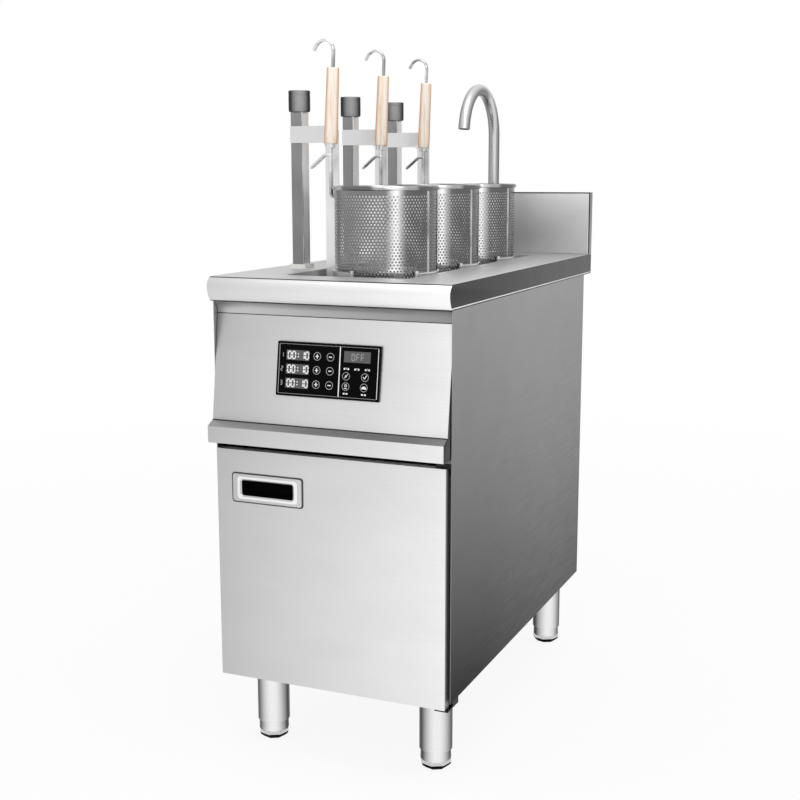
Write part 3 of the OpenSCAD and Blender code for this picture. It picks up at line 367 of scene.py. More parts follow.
# Dark lines along the folds are painted shade; the bright lines beside the hems are painted highlights,
# and the cradle bars are written near white, a painted highlight on them
CRADLE_STEEL = sheet_steel(
    "cradle bar, painted highlight", ("f0f0f0", "fafafa"), ("Z", 740, 800), UPRIGHT, 0.28)
FOLD_SHADE_STEEL = sheet_steel(
    "stainless fold, painted shade", ("343434", "424242"), ("Z", 140, SPLASH_TOP), ACROSS, 0.5)
HEM_HIGHLIGHT = sheet_steel(
    "folded edge, painted highlight", ("f0f0f0", "fafafa"), ("Z", 140, SPLASH_TOP), ACROSS, 0.4)
# Polished sheet rolled round: its reflections are painted on as a few bright streaks on a dark ground,
# also on the rim and foot ring; its inside is written near white, a painted light
BASKET_STEEL = round_steel("perforated stainless", ("828282", "ffffff"), (0.66, 1.0), 0.12, SMEARS)
INNER_STEEL = bright_steel("inside of a basket, painted light", "fafafa", 0.2)
RIM_STEEL = round_steel("rolled stainless rim", ("707070", "f0f0f0"), (0.4, 1.0), 0.1, SMEARS)
# Drawn wire is thin and glossy, so it shows as dark and light threads
WIRE_STEEL = bright_steel("bright drawn wire", "9e9e9e", 0.1)
# Satin tube: the brushing runs round it, and upright light and dark bands are painted on the spout and
# the legs as their reflections
SPOUT_STEEL = round_steel("satin bent tube", ("7a7a7a", "d8d8d8"), (0.15, 0.95), 0.3, (60, 60, 60))
LEG_STEEL = round_steel("satin leg tube", ("2e2e2e", "f2f2f2"), (0.2, 0.98), 0.3, AROUND)
# Deep-drawn and pressed sheet is smoother than the casing, and plain pipe is dull. The tank is darker
# towards its bottom, a painted shade deep inside it
TANK_STEEL = sheet_steel(
    "drawn stainless tank", ("b4b4b4", "f0f0f0"), ("Z", 574, TOP_Z), UPRIGHT, 0.33)
# The pull is a little lighter to the right, the front's painted light
PULL_STEEL = sheet_steel(
    "pressed stainless pull", ("c2c2c2", "d2d2d2"), ("X", -166, -41), ACROSS, 0.35)
PIPE_STEEL = sheet_steel("plain steel pipe", ("8e8e8e", "a8a8a8"), ("Z", 120, 760), UPRIGHT, 0.4)
# Zinc plate and cast zinc: dull grey metal with a fine cloudy skin
ZINC = coated("bright zinc plate", "a9abae", 0.38, 11, 0.1, metallic=1.0)
FOOT_ZINC = coated("cast zinc", "d0d0d0", 0.36, 7, 0.04, metallic=1.0)
# The hinges are written nearly black, a painted shade where they show in the gap above the door, with a
# dull satin gloss
HINGE_STEEL = coated("hinge steel, black painted shade", "26272a", 0.5, 9, 0.08, metallic=1.0)
# Moulded rubber and plastics: even, softly glossy, with the grain of the mould
CAP_RUBBER = turned_rubber()
SOLE_RUBBER = coated("rubber sole", "040404", 0.8, more={"Specular IOR Level": 0.05})
BLACK_PLASTIC = coated("black moulded plastic", "141416", 0.5)
GREY_PLASTIC = coated("grey moulded plastic", "b9bab4", 0.5)
NYLON = coated("natural nylon", "e4e3df", 0.42, 4, 0.04)
# Black painted shade, matt so that it swallows the light, deep in the finger cup and in the gap below
# the ledge
RECESS_SHADE_BLACK = coated("black painted shade in recesses", "020202", 0.8, more={"Specular IOR Level": 0.05})
# Powder coat: an even colour with a faint orange peel
POWDER = coated("grey powder coat", "6b6e73", 0.5, 1.5)
DARK_POWDER = coated("dark powder coat", "51555b", 0.45, 1.5)
# Hot-pressed brass is yellow and cloudy; vinyl from a dip is red, even and glossy
VALVE_BRASS = coated("hot-pressed brass", "b8944a", 0.36, 8, 0.1, metallic=1.0)
DIPPED_RED = coated("dipped red vinyl", "a51b16", 0.35, 10, 0.05)
# A heater's sheath goes brown and blotchy with use
HEATER_STEEL = coated("oxidised heater tube", "4b4642", 0.5, 12, 0.2, metallic=1.0)
GRIP_WOOD = turned_wood()
# Back-painted glass is black and glossy; the prints on it are matt screen ink
GLASS_BLACK = coated(
    "back-painted glass", "030304", 0.1, 40, 0.02, {"IOR": 1.5, "Specular IOR Level": 0.05})
PRINT_WHITE = coated("white screen ink", "f6f6f6", 0.5, 2, 0.02)
PRINT_GREY = coated("grey screen ink", "a6a6a6", 0.5, 2, 0.02)
FIELD_GREY = coated("display field", "565656", 0.4, 4, 0.03)
SEGMENT_DIM = coated("dim display segment", "a0a0a0", 0.4, 2, 0.03)


def new_object(name, data):
    """An object in the scene, at the origin."""
    made = bpy.data.objects.new(name, data)
    scene.collection.objects.link(made)
    return made


def put(name, mesh, body, slot, *stands_for):
    """Makes a finished piece of a mesh and hangs it on its body."""
    made = new_object(name, mesh)
    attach(made, body)
    if stands_for:
        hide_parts(*stands_for)


def to_mesh(bm, name, materials, angle=30, outward=True):
    """Closes a bmesh into a smooth-shaded mesh with sharp edges kept."""
    if outward:
        bmesh.ops.recalc_face_normals(bm, faces=bm.faces)
    mesh = bpy.data.meshes.new(name)
    bm.to_mesh(mesh)
    bm.free()
    for material in materials:
        mesh.materials.append(material)
    mesh.shade_smooth()
    mesh.set_sharp_from_angle(angle=math.radians(angle))
    return mesh


def finish(bm, name, materials, body, slot, *stands_for, angle=30):
    """Makes a finished piece of a bmesh and hangs it on its body."""
    put(name, to_mesh(bm, name, materials, angle), body, slot, *stands_for)


def band_layer(bm):
    return bm.verts.layers.float.get("band") or bm.verts.layers.float.new("band")


def wave(bearing, lit, lobes=2):
    """How light a round piece is painted at a bearing, its painted reflection or sheen: 1 at the lit
    one, in degrees, and lobes times round.
    """
    return 0.5 + 0.5 * math.cos(lobes * (bearing - math.radians(lit)))


def lathe(bm, profile, centre=(0, 0), segments=48, index=0, closed=False, lit=None, turn=0.0):
    """Turns a profile of (radius, z) in mm round a vertical axis; a radius of 0 closes an end.

    Lit is the bearing, in degrees, of one of its two painted light bands, which stand for reflections
    on steel, sheen on rubber and the lit side of wood.
    """
    bands = band_layer(bm) if lit is not None else None
    rings = []
    for radius, z in profile:
        if radius < 1e-6:
            rings.append([bm.verts.new(mm(centre[0], centre[1], z))])
            continue
        ring = []
        for i in range(segments):
            a = 2 * math.pi * i / segments + turn
            x, y = centre[0] + radius * math.cos(a), centre[1] + radius * math.sin(a)
            made = bm.verts.new(mm(x, y, z))
            if bands:
                made[bands] = wave(a, lit)
            ring.append(made)
        rings.append(ring)
    pairs = list(zip(rings, rings[1:])) + ([(rings[-1], rings[0])] if closed else [])
    for one, two in pairs:
        for i in range(segments):
            j = (i + 1) % segments
            corners = [one[i % len(one)], one[j % len(one)], two[j % len(two)], two[i % len(two)]]
            unique = list(dict.fromkeys(corners))
            if len(unique) > 2:
                bm.faces.new(unique).material_index = index


def rounded(points, radius, steps=3):
    """Rounds the inner corners of an open profile with short arcs."""
    result = [points[0]]
    for before, here, after in zip(points, points[1:], points[2:]):
        a, b, c = Vector(before), Vector(here), Vector(after)
        cut = min(radius, (a - b).length * 0.45, (c - b).length * 0.45)
        start, end = b + (a - b).normalized() * cut, b + (c - b).normalized() * cut
        for i in range(steps + 1):
            t = i / steps
            result.append(tuple((1 - t) ** 2 * start + 2 * t * (1 - t) * b + t**2 * end))
    return result + [points[-1]]


def sweep(bm, path, radius, sides, inner=None, lit=None):
    """A round bar along points in mm, or with an inner radius a tube. Lit is the side of its painted
    light band, a painted reflection.
    """
    path = [Vector(p) for p in path]
    count = len(path)
    around = [(path[max(i - 1, 0)], path[min(i + 1, count - 1)]) for i in range(count)]
    tangents = [(after - before).normalized() for before, after in around]
    side = Vector((1, 0, 0))
    if abs(side.dot(tangents[0])) > 0.9:
        side = Vector((0, 1, 0))
    bands = band_layer(bm) if lit else None
    frames = []
    for tangent in tangents:
        side = (side - tangent * side.dot(tangent)).normalized()
        frames.append((side.copy(), tangent.cross(side)))

    def rings_of(size):
        rings = []
        for p, (u, v) in zip(path, frames):
            ring = []
            bearing = math.degrees(math.atan2(v.dot(lit), u.dot(lit))) if lit else 0
            for i in range(sides):
                a = 2 * math.pi * i / sides
                made = bm.verts.new((p + (u * math.cos(a) + v * math.sin(a)) * size) * MM)
                if bands:
                    made[bands] = wave(a, bearing)
                ring.append(made)
            rings.append(ring)
        return rings

    def join(one, two):
        for i in range(sides):
            j = (i + 1) % sides
            bm.faces.new((one[i], one[j], two[j], two[i]))

    outer = rings_of(radius)
    for one, two in zip(outer, outer[1:]):
        join(one, two)
    if inner:
        hollow = rings_of(inner)
        for one, two in zip(hollow, hollow[1:]):
            join(two, one)
        join(hollow[0], outer[0])
        join(outer[-1], hollow[-1])
        return
    bulge = radius * 0.4
    ends = ((outer[0], path[0] - tangents[0] * bulge), (outer[-1], path[-1] + tangents[-1] * bulge))
    for ring, end in ends:
        tip = bm.verts.new(end * MM)
        for i in range(sides):
            bm.faces.new((ring[i], ring[(i + 1) % sides], tip))


def arc(centre, u, v, radius, start, end, steps):
    """Points of an arc in the plane of two unit vectors, angles in degrees."""
    centre, u, v = Vector(centre), Vector(u), Vector(v)
    angles = [math.radians(start + (end - start) * i / steps) for i in range(steps + 1)]
    return [centre + (u * math.cos(a) + v * math.sin(a)) * radius for a in angles]


def round_rect(width, height, radius):
    """An outline with round corners, its middle at the origin."""
    points = []
    for sx, sy, start in ((1, 1, 0), (-1, 1, 90), (-1, -1, 180), (1, -1, 270)):
        cx, cy = sx * (width / 2 - radius), sy * (height / 2 - radius)
        for i in range(5):
            a = math.radians(start + 22.5 * i)
            points.append((cx + radius * math.cos(a), cy + radius * math.sin(a)))
    return points


def circle(radius, centre=(0, 0), sides=24):
    angles = [2 * math.pi * i / sides for i in range(sides)]
    return [(centre[0] + radius * math.cos(a), centre[1] + radius * math.sin(a)) for a in angles]


def loft(bm, loops, place, ring=False):
    """Joins outlines of equal count, each (points in mm, height, material).

    A ring joins the last to the first; otherwise both ends are closed.
    """
    rings = []
    for points, height, _ in loops:
        rings.append([bm.verts.new((place @ Vector((x, y, height))) * MM) for x, y in points])
    pairs = list(zip(rings, rings[1:], loops[1:]))
    if ring:
        pairs.append((rings[-1], rings[0], loops[0]))
    for one, two, loop in pairs:
        for i in range(len(one)):
            j = (i + 1) % len(one)
            bm.faces.new((one[i], one[j], two[j], two[i])).material_index = loop[2]
    if not ring:
        bm.faces.new(list(reversed(rings[0]))).material_index = loops[0][2]
        bm.faces.new(rings[-1]).material_index = loops[-1][2]


# Planes that part a sheet, so that no flat of it is a ring: each a point in mm and a normal
PARTINGS = (((140, 0, 0), (1, 0, 0)), ((-110, 0, 0), (1, 0, 0)), ((0, -86, 0), (0, 1, 0)))


def part_faces(bm, point, normal):
    """Parts a bmesh's faces along a plane and returns the new edges."""
    parted = bmesh.ops.bisect_plane(
        bm, geom=bm.verts[:] + bm.edges[:] + bm.faces[:], dist=1e-7,
        plane_co=Vector(point) * MM, plane_no=normal)
    return [made for made in parted["geom_cut"] if isinstance(made, bmesh.types.BMEdge)]


def soft_copy(node, name, body, slot, width, materials, choose=None, segments=2, cuts=()):
    """A copy of a CAD node with its edges broken, as folded and deburred sheet has them.

    Choose gives the material of a face from its normal and its middle in mm. Cuts are
    planes along which faces are parted for it.
    """
    bm = bmesh.new()
    bm.from_mesh(nodes[node].data)
    bmesh.ops.remove_doubles(bm, verts=bm.verts, dist=1e-6)
    for plane in PARTINGS:
        for edge in part_faces(bm, *plane):
            edge.seam = True
    bmesh.ops.dissolve_limit(
        bm, angle_limit=math.radians(0.6), verts=bm.verts, edges=bm.edges, delimit={"NORMAL", "SEAM"})
    bends = [edge for edge in bm.edges if len(edge.link_faces) == 2]
    sharp = [edge for edge in bends if edge.calc_face_angle() > math.radians(30)]
    bmesh.ops.bevel(
        bm, geom=sharp, offset=width * MM, segments=segments, affect="EDGES", profile=0.5,
        clamp_overlap=True, harden_normals=False)
    for plane in cuts:
        part_faces(bm, *plane)
    if choose:
        bm.normal_update()
        for face in bm.faces:
            steel = choose(face.normal, face.calc_center_median() / MM)
            face.material_index = materials.index(steel)
    put(name, to_mesh(bm, name, materials, 25, outward=False), body, slot, node)


# Geometry Nodes: the perforated sheets and the rows of screws
def new_tree(name, inputs):
    """A geometry tree with named inputs. Returns it, its input sockets and its output node."""
    tree = bpy.data.node_groups.new(name, "GeometryNodeTree")
    for label, kind in inputs.items():
        tree.interface.new_socket(name=label, in_out="INPUT", socket_type=f"NodeSocket{kind}")
    tree.interface.new_socket(name="Geometry", in_out="OUTPUT", socket_type="NodeSocketGeometry")
    start = tree.nodes.new("NodeGroupInput")
    return tree, start.outputs, tree.nodes.new("NodeGroupOutput")


def end_tree(tree, end, geometry, material):
    """Ends a tree: welds its mesh, makes its instances real and gives them their material."""
    weld = {"Geometry": geometry, "Distance": 0.02 * MM}
    welded = add_node(tree, "GeometryNodeMergeByDistance", weld)
    real = add_node(tree, "GeometryNodeRealizeInstances", {0: welded})
    dressed = add_node(tree, "GeometryNodeSetMaterial", {"Geometry": real, "Material": material})
    tree.links.new(dressed.outputs[0], end.inputs[0])
    return tree


def grow(tree, values, wall=0.0):
    """Runs a geometry tree with the given inputs and returns its plain mesh, with a wall in mm."""
    host = new_object("host", bpy.data.meshes.new("host"))
    maker = host.modifiers.new("Make", "NODES")
    maker.node_group = tree
    for item in tree.interface.items_tree:
        if item.in_out == "INPUT":
            maker[item.identifier] = values[item.name]
    if wall:
        thick = host.modifiers.new("Wall", "SOLIDIFY")
        thick.thickness = wall * MM
        thick.offset = -1
    made = host.evaluated_get(bpy.context.evaluated_depsgraph_get())
    mesh = bpy.data.meshes.new_from_object(made)
    bpy.data.objects.remove(host)
    return mesh


SHEET_INPUTS = {
    "Tile": "Object", "Columns": "Int", "Rows": "Int", "Width": "Float", "Height": "Float",
    "Half Pitch": "Float", "Steel": "Material",
}


def hole_tile():
    """One cell of the perforated sheet: eight faces round an eight-sided hole."""
    w, h = PITCH / 2, ROW_STEP / 2
    outline = [(w, 0), (w, h), (0, h), (-w, h), (-w, 0), (-w, -h), (0, -h), (w, -h)]
    verts = [mm(x, y, 0) for x, y in outline + circle(HOLE_R, sides=8)]
    faces = [(i, (i + 1) % 8, 8 + (i + 1) % 8, 8 + i) for i in range(8)]
    mesh = bpy.data.meshes.new("hole tile")
    mesh.from_pydata(verts, [], faces)
    return new_object("hole tile", mesh)


def sheet_sizes(tile, columns, rows):
    """A perforated sheet's inputs. Its width and height run between the middles of its outer tiles."""
    return {
        "Tile": tile, "Columns": columns, "Rows": rows, "Width": (columns - 1) * PITCH * MM,
        "Height": (rows - 1) * ROW_STEP * MM, "Half Pitch": PITCH / 2 * MM, "Steel": BASKET_STEEL}


def staggered_tiles(tree, given, reach=None):
    """Tiles in rows, each second row moved half a pitch, and only those within a given reach."""
    grid = add_node(tree, "GeometryNodeMeshGrid", {
        "Size X": given["Width"], "Size Y": given["Height"],
        "Vertices X": given["Columns"], "Vertices Y": given["Rows"]})
    # A grid counts its points up each column in turn, so the remainder by the rows is the row
    index = add_node(tree, "GeometryNodeInputIndex")
    row = add_node(tree, "ShaderNodeMath", {"operation": "MODULO", 0: index, 1: given["Rows"]})
    odd = add_node(tree, "ShaderNodeMath", {"operation": "MODULO", 0: row, 1: 2.0})
    shift = add_node(tree, "ShaderNodeMath", {"operation": "MULTIPLY", 0: odd, 1: given["Half Pitch"]})
    offset = add_node(tree, "ShaderNodeCombineXYZ", {"X": shift})
    points = add_node(tree, "GeometryNodeSetPosition", {"Geometry": grid, "Offset": offset})
    if reach:
        place = add_node(tree, "GeometryNodeInputPosition")
        far = add_node(tree, "ShaderNodeVectorMath", {"operation": "LENGTH", 0: place})
        out = add_node(tree, "FunctionNodeCompare", {
            "operation": "GREATER_THAN", 0: far.outputs["Value"], 1: reach})
        points = add_node(tree, "GeometryNodeDeleteGeometry", {
            "domain": "POINT", "Geometry": points, "Selection": out})
    tile = add_node(tree, "GeometryNodeObjectInfo", {"Object": given["Tile"]})
    placed = add_node(tree, "GeometryNodeInstanceOnPoints", {
        "Points": points, "Instance": tile.outputs["Geometry"]})
    return add_node(tree, "GeometryNodeRealizeInstances", {0: placed})


def wall_tree():
    """Perforated sheet rolled into a basket's wall, with a plain band above and below the holes."""
    tree, given, end = new_tree("rolled perforated sheet", {
        **SHEET_INPUTS, "Radius": "Float", "Round": "Float", "Stations": "Int", "Middle": "Float",
        "Low Band": "Float", "Low Middle": "Float", "High Band": "Float", "High Middle": "Float"})
    joined = add_node(tree, "GeometryNodeJoinGeometry", {0: staggered_tiles(tree, given)})
    for band in ("Low", "High"):
        strip = add_node(tree, "GeometryNodeMeshGrid", {
            "Size X": given["Round"], "Size Y": given[f"{band} Band"],
            "Vertices X": given["Stations"], "Vertices Y": 2})
        lift = add_node(tree, "ShaderNodeCombineXYZ", {"Y": given[f"{band} Middle"]})
        moved = add_node(tree, "GeometryNodeSetPosition", {"Geometry": strip, "Offset": lift})
        tree.links.new(moved.outputs[0], joined.inputs[0])
    # Rolling makes the way along the sheet a bearing, counted from the basket's front
    place = add_node(tree, "GeometryNodeInputPosition")
    flat = add_node(tree, "ShaderNodeSeparateXYZ", {0: place}).outputs
    angle = add_node(tree, "ShaderNodeMath", {"operation": "DIVIDE", 0: flat["X"], 1: given["Radius"]})
    front = add_node(tree, "ShaderNodeMath", {"operation": "MULTIPLY", 0: given["Radius"], 1: -1.0})
    level = add_node(tree, "ShaderNodeMath", {"operation": "ADD", 0: flat["Y"], 1: given["Middle"]})
    upright = add_node(tree, "ShaderNodeCombineXYZ", {"Y": front, "Z": level})
    turned = add_node(tree, "ShaderNodeVectorRotate", {
        "rotation_type": "Z_AXIS", "Vector": upright, "Angle": angle})
    rolled = add_node(tree, "GeometryNodeSetPosition", {"Geometry": joined, "Position": turned})
    return end_tree(tree, end, rolled, given["Steel"])


def floor_tree():
    """Perforated sheet for a basket's floor, cut to a round outline of whole tiles."""
    tree, given, end = new_tree("flat perforated sheet", {
        **SHEET_INPUTS, "Reach": "Float", "Level": "Float"})
    tiles = staggered_tiles(tree, given, given["Reach"])
    lift = add_node(tree, "ShaderNodeCombineXYZ", {"Z": given["Level"]})
    raised = add_node(tree, "GeometryNodeSetPosition", {"Geometry": tiles, "Offset": lift})
    return end_tree(tree, end, raised, given["Steel"])


def screw_tree():
    """A row of screws, up from a first place at an even step."""
    tree, given, end = new_tree("row of screws", {
        "Screw": "Object", "Count": "Int", "First": "Vector", "Step": "Vector", "Zinc": "Material"})
    line = add_node(tree, "GeometryNodeMeshLine", {
        "Count": given["Count"], "Start Location": given["First"], "Offset": given["Step"]})
    screw = add_node(tree, "GeometryNodeObjectInfo", {"Object": given["Screw"]})
    placed = add_node(tree, "GeometryNodeInstanceOnPoints", {
        "Points": line, "Instance": screw.outputs["Geometry"]})
    return end_tree(tree, end, placed, given["Zinc"])


# Casing: worktop, splashback, sides, fascia, ledge and door. Each function gives a face its finish:
# a lit or shaded copy of the steel, painted shade lines at folds, painted highlight lines at hems and
# black painted shade in the gap above the door
def worktop_face(normal, middle):
    if abs(normal.x) > 0.7:
        if middle.z < SKIRT_SHADE_LINE:
            return FOLD_SHADE_STEEL
        return HEM_HIGHLIGHT if middle.z < SKIRT_HEM else EDGE_STEEL
    if normal.z > 0.95:
        return TOP_STEEL
    folded = TOP_FOLD[0] < middle.z < TOP_FOLD[1] or middle.z < SKIRT_FOLD
    return FOLD_SHADE_STEEL if folded and normal.y < -0.1 else NOSE_STEEL


def splash_face(normal, middle):
    if abs(normal.x) > 0.7:
        return RETURN_STEEL
    inset = min(SPLASH_TOP - middle.z, HALF_W - abs(middle.x))
    if normal.y > -0.7 or inset >= SPLASH_HEM:
        return SPLASH_STEEL
    return FOLD_SHADE_STEEL if inset < SPLASH_SHADE_LINE else HEM_HIGHLIGHT


def side_face(normal, middle):
    return RETURN_STEEL if abs(normal.y) > 0.7 and middle.y < FRONT + 20 else SIDE_STEEL


def fascia_face(normal, middle):
    if abs(normal.x) > 0.7:
        return EDGE_STEEL
    if COVE_FOLD[0] < middle.z < COVE_FOLD[1]:
        return FOLD_SHADE_STEEL
    return COVE_STEEL if middle.z > COVE_FOLD[0] else FRONT_STEEL


# The black below the ledge is painted shade in the gap above the door, and the band above the slope's
# fold a painted shade line
def ledge_face(normal, middle):
    if abs(normal.x) > 0.7:
        return EDGE_STEEL
    if middle.z < LEDGE_FLANGE or (middle.z < LEDGE_LIP and normal.y > -0.5):
        return RECESS_SHADE_BLACK
    if normal.z > 0.35:
        return FOLD_SHADE_STEEL if middle.z > LEDGE_FOLD else SLOPE_STEEL
    return FRONT_STEEL


def door_face(normal, middle):
    return RETURN_STEEL if abs(normal.x) > 0.6 else FRONT_STEEL


def level_cuts(*heights):
    return [((0, 0, z), (0, 0, 1)) for z in heights]


soft_copy("worktop", "worktop_sheet", "cabinet", "worktop_steel", 0.8,
          [NOSE_STEEL, EDGE_STEEL, TOP_STEEL, FOLD_SHADE_STEEL, HEM_HIGHLIGHT], worktop_face,
          cuts=level_cuts(*TOP_FOLD, SKIRT_SHADE_LINE, SKIRT_HEM))
hem_cuts = [((side * (HALF_W - inset), 0, 0), (1, 0, 0))
            for side in (-1, 1) for inset in (SPLASH_SHADE_LINE, SPLASH_HEM)]
soft_copy("splashback", "splashback_sheet", "cabinet", "side_steel", 0.8,
          [SPLASH_STEEL, RETURN_STEEL, FOLD_SHADE_STEEL, HEM_HIGHLIGHT], splash_face,
          cuts=level_cuts(SPLASH_TOP - SPLASH_SHADE_LINE, SPLASH_TOP - SPLASH_HEM) + hem_cuts)
for side in ("left", "right"):
    soft_copy(f"{side}_side_panel", f"{side}_side_sheet", "cabinet", "side_steel", 0.5,
              [SIDE_STEEL, RETURN_STEEL], side_face)
soft_copy("front_fascia", "fascia_sheet", "cabinet", "front_steel", 0.5,
          [FRONT_STEEL, EDGE_STEEL, COVE_STEEL, FOLD_SHADE_STEEL], fascia_face,
          cuts=level_cuts(*COVE_FOLD))
soft_copy("front_ledge", "ledge_sheet", "cabinet", "front_steel", 0.5,
          [FRONT_STEEL, EDGE_STEEL, SLOPE_STEEL, FOLD_SHADE_STEEL, RECESS_SHADE_BLACK], ledge_face,
          cuts=level_cuts(LEDGE_FOLD, LEDGE_FLANGE))
soft_copy("door_skin", "door_sheet", "door", "front_steel", 1.2, [FRONT_STEEL, RETURN_STEEL],
          door_face, segments=3)

# Recessed pull: a pressed frame round a black finger cup, a painted shade; its outline takes the ends'
# darker steel, a painted shade, and its ridge a painted highlight
FRAME, SHADED_OUTLINE, CUP, HIGHLIT_RIDGE = 0, 1, 2, 3
pull_place = Matrix.Translation((PULL_X, DOOR_FACE, PULL_Z)) @ Matrix.Rotation(math.radians(90), 4, "X")
bm = bmesh.new()
loft(bm, [
    (round_rect(82, 18, 3), -13.9, CUP),
    (round_rect(89, 24, 4), -1.2, CUP),
    (round_rect(PULL_W, PULL_H, 5), 0, SHADED_OUTLINE),
    (round_rect(PULL_W, PULL_H, 5), 0.9, SHADED_OUTLINE),
    (round_rect(PULL_W - 2.2, PULL_H - 2.2, 4.4), 1.5, SHADED_OUTLINE),
    (round_rect(PULL_W - 4.1, PULL_H - 4.1, 3.8), 1.5, SHADED_OUTLINE),
    (round_rect(PULL_W - 4.7, PULL_H - 4.7, 3.6), 1.4, FRAME),
    (round_rect(105, 36, 5), 1.3, FRAME),
    (round_rect(101, 33.4, 6), 2.2, HIGHLIT_RIDGE),
    (round_rect(95, 28.6, 6), 2.2, HIGHLIT_RIDGE),
    (round_rect(90, 24.6, 3.4), 0.6, FRAME),
    (round_rect(88, 23, 2.4), 0, CUP),
    (round_rect(81, 17, 2), -13, CUP),
], pull_place)
finish(bm, "pull_frame", [PULL_STEEL, EDGE_STEEL, RECESS_SHADE_BLACK, HEM_HIGHLIGHT],
       "door", "pull_steel", "door_pull", angle=20)

# Prints on the touch panel: screen ink 0.15 mm thick on the glass. A place on it is x across
# and s up the slope
slope_sin, slope_cos = math.sin(SLOPE_LEAN), math.cos(SLOPE_LEAN)
on_glass = Matrix((
    (1, 0, 0, 0), (0, slope_sin, -slope_cos, SLOPE_FOOT_Y),
    (0, slope_cos, slope_sin, SLOPE_FOOT_Z), (0, 0, 0, 1)))
# A figure's bars: place across and up, in shares of its size, and whether it lies flat
BARS = {
    "a": (0, 1, True), "b": (0.5, 0.5, False), "c": (0.5, -0.5, False), "d": (0, -1, True),
    "e": (-0.5, -0.5, False), "f": (-0.5, 0.5, False), "g": (0, 0, True),
}
FIGURES = {"0": "abcdef", "1": "bc", "2": "abged", "3": "abgcd", "F": "aefg"}
WHITE, GREY, FIELD, DIM = 0, 1, 2, 3


def ink(bm, outline, colour, lift=0.0):
    loft(bm, [(outline, INK_FOOT, colour), (outline, INK_TOP + lift, colour)], on_glass)


def ink_bar(bm, x, s, width, height, colour, angle=0, lift=0.0):
    turn = Matrix.Rotation(math.radians(angle), 2)
    corners = [(i * width / 2, j * height / 2) for i, j in ((1, 1), (-1, 1), (-1, -1), (1, -1))]
    ink(bm, [tuple(turn @ Vector(c) + Vector((x, s))) for c in corners], colour, lift)


def ink_ring(bm, x, s, radius, width, colour):
    outer, inner = circle(radius, (x, s)), circle(radius - width, (x, s))
    section = ((outer, INK_FOOT), (outer, INK_TOP), (inner, INK_TOP), (inner, INK_FOOT))
    loft(bm, [(points, height, colour) for points, height in section], on_glass, ring=True)


def ink_figure(bm, sign, x, s, height, stroke, colour, lift=0.0):
    """A seven-segment figure."""
    width = height * 0.46
    for bar in FIGURES[sign]:
        across, up, flat = BARS[bar]
        wide, high = (width - stroke * 0.6, stroke) if flat else (stroke, height / 2 - stroke * 0.6)
        ink_bar(bm, x + across * width, s + up * height / 2, wide, high, colour, 0, lift)


def ink_word(bm, word, x, s, height, stroke, step, colour):
    """Figures in a row at an even step, standing off their display field."""
    for i, sign in enumerate(word):
        place = x + (i - (len(word) - 1) / 2) * step
        if sign == ":":
            for way in (-1, 1):
                ink_bar(bm, place, s + way * height * 0.2, stroke, stroke, colour, 0, DIGIT_LIFT)
        else:
            ink_figure(bm, sign, place, s, height, stroke, colour, DIGIT_LIFT)


def ink_prints(bm):
    """Border, three timers with their keys on the left, and the display and four keys on the right."""
    for x, s, width, height, colour in (
            (0, 48.6, 164.6, 0.5, GREY), (0, 123.8, 164.6, 0.5, GREY), (-82.3, 86.2, 0.9, 74.6, GREY),
            (82.3, 86.2, 0.9, 74.6, WHITE), (19.6, 86.2, 1.6, 74.4, WHITE)):
        ink_bar(bm, x, s, width, height, colour)
    for number, s in (("1", 107.2), ("2", 86.1), ("3", 64.7)):
        ink_figure(bm, number, -77.4, s, 6.4, 1.1, GREY)
        ink_bar(bm, -51, s, 38.6, 15.2, FIELD)
        ink_word(bm, "00:10", -50.2, s, 10.8, 1.9, 7.4, WHITE)
        for x in (-18.4, 3.8):
            ink_ring(bm, x, s, 6.3, 0.9, GREY)
            ink_bar(bm, x, s, 5.2, 1.5, WHITE)
        for way in (-1, 1):
            ink_bar(bm, -18.4, s + way * 2.0, 1.7, 2.1, WHITE)
    ink_bar(bm, 48, 109.4, 43.4, 16.6, FIELD)
    ink_word(bm, "0FF", 49, 109, 9.6, 1.4, 7.6, DIM)
    for x, wide in ((31, 9.4), (48.2, 8.6), (65.4, 8.6)):
        for i, s, colour in ((-1, 91.2, WHITE), (0, 91.7, GREY), (1, 91.2, WHITE)):
            ink_bar(bm, x + i * wide / 3, s, wide / 3 - 0.7, 2.7, colour, 12 * i)
    for x, s in ((31, 80.2), (62, 80.2), (31, 64.8), (61, 64.8)):
        ink_ring(bm, x, s, 6.2, 0.8, GREY)
    for x in (28.7, 33.3, 58.7, 63.3):
        ink_bar(bm, x, 54.2, 3.2, 2.2, WHITE)
    # In the keys: a crossed stroke, a tick, a lamp on its foot and a dome
    for x, s, width, height, angle in (
            (31, 80.2, 7.6, 1.0, 50), (31, 80.2, 3.4, 1.0, -40), (63, 80.6, 6.6, 1.3, 56),
            (60.2, 79.4, 3.0, 1.3, -45), (31, 61.9, 5.4, 1.0, 0)):
        ink_bar(bm, x, s, width, height, WHITE, angle)
    ink_ring(bm, 31, 66, 2.2, 0.8, WHITE)
    dome = [math.radians(a) for a in range(0, 181, 20)]
    ink(bm, [(61 + 4.2 * math.cos(a), 62.6 + 4.2 * math.sin(a)) for a in dome], WHITE)


bm = bmesh.new()
ink_prints(bm)
finish(bm, "panel_prints", [PRINT_WHITE, PRINT_GREY, FIELD_GREY, SEGMENT_DIM],
       "cabinet", "touch_glass")


# Lifts: post, flag plate, cradle and rubber cap
# A post's right face takes the pale plate steel, a painted light, and its bevelled front right corner
# the bright wire, a painted highlight
def post_face(normal, middle):
    if normal.x > 0.9:
        return FLAG_STEEL
    return WIRE_STEEL if normal.x > 0.25 and normal.y < -0.25 else POST_STEEL


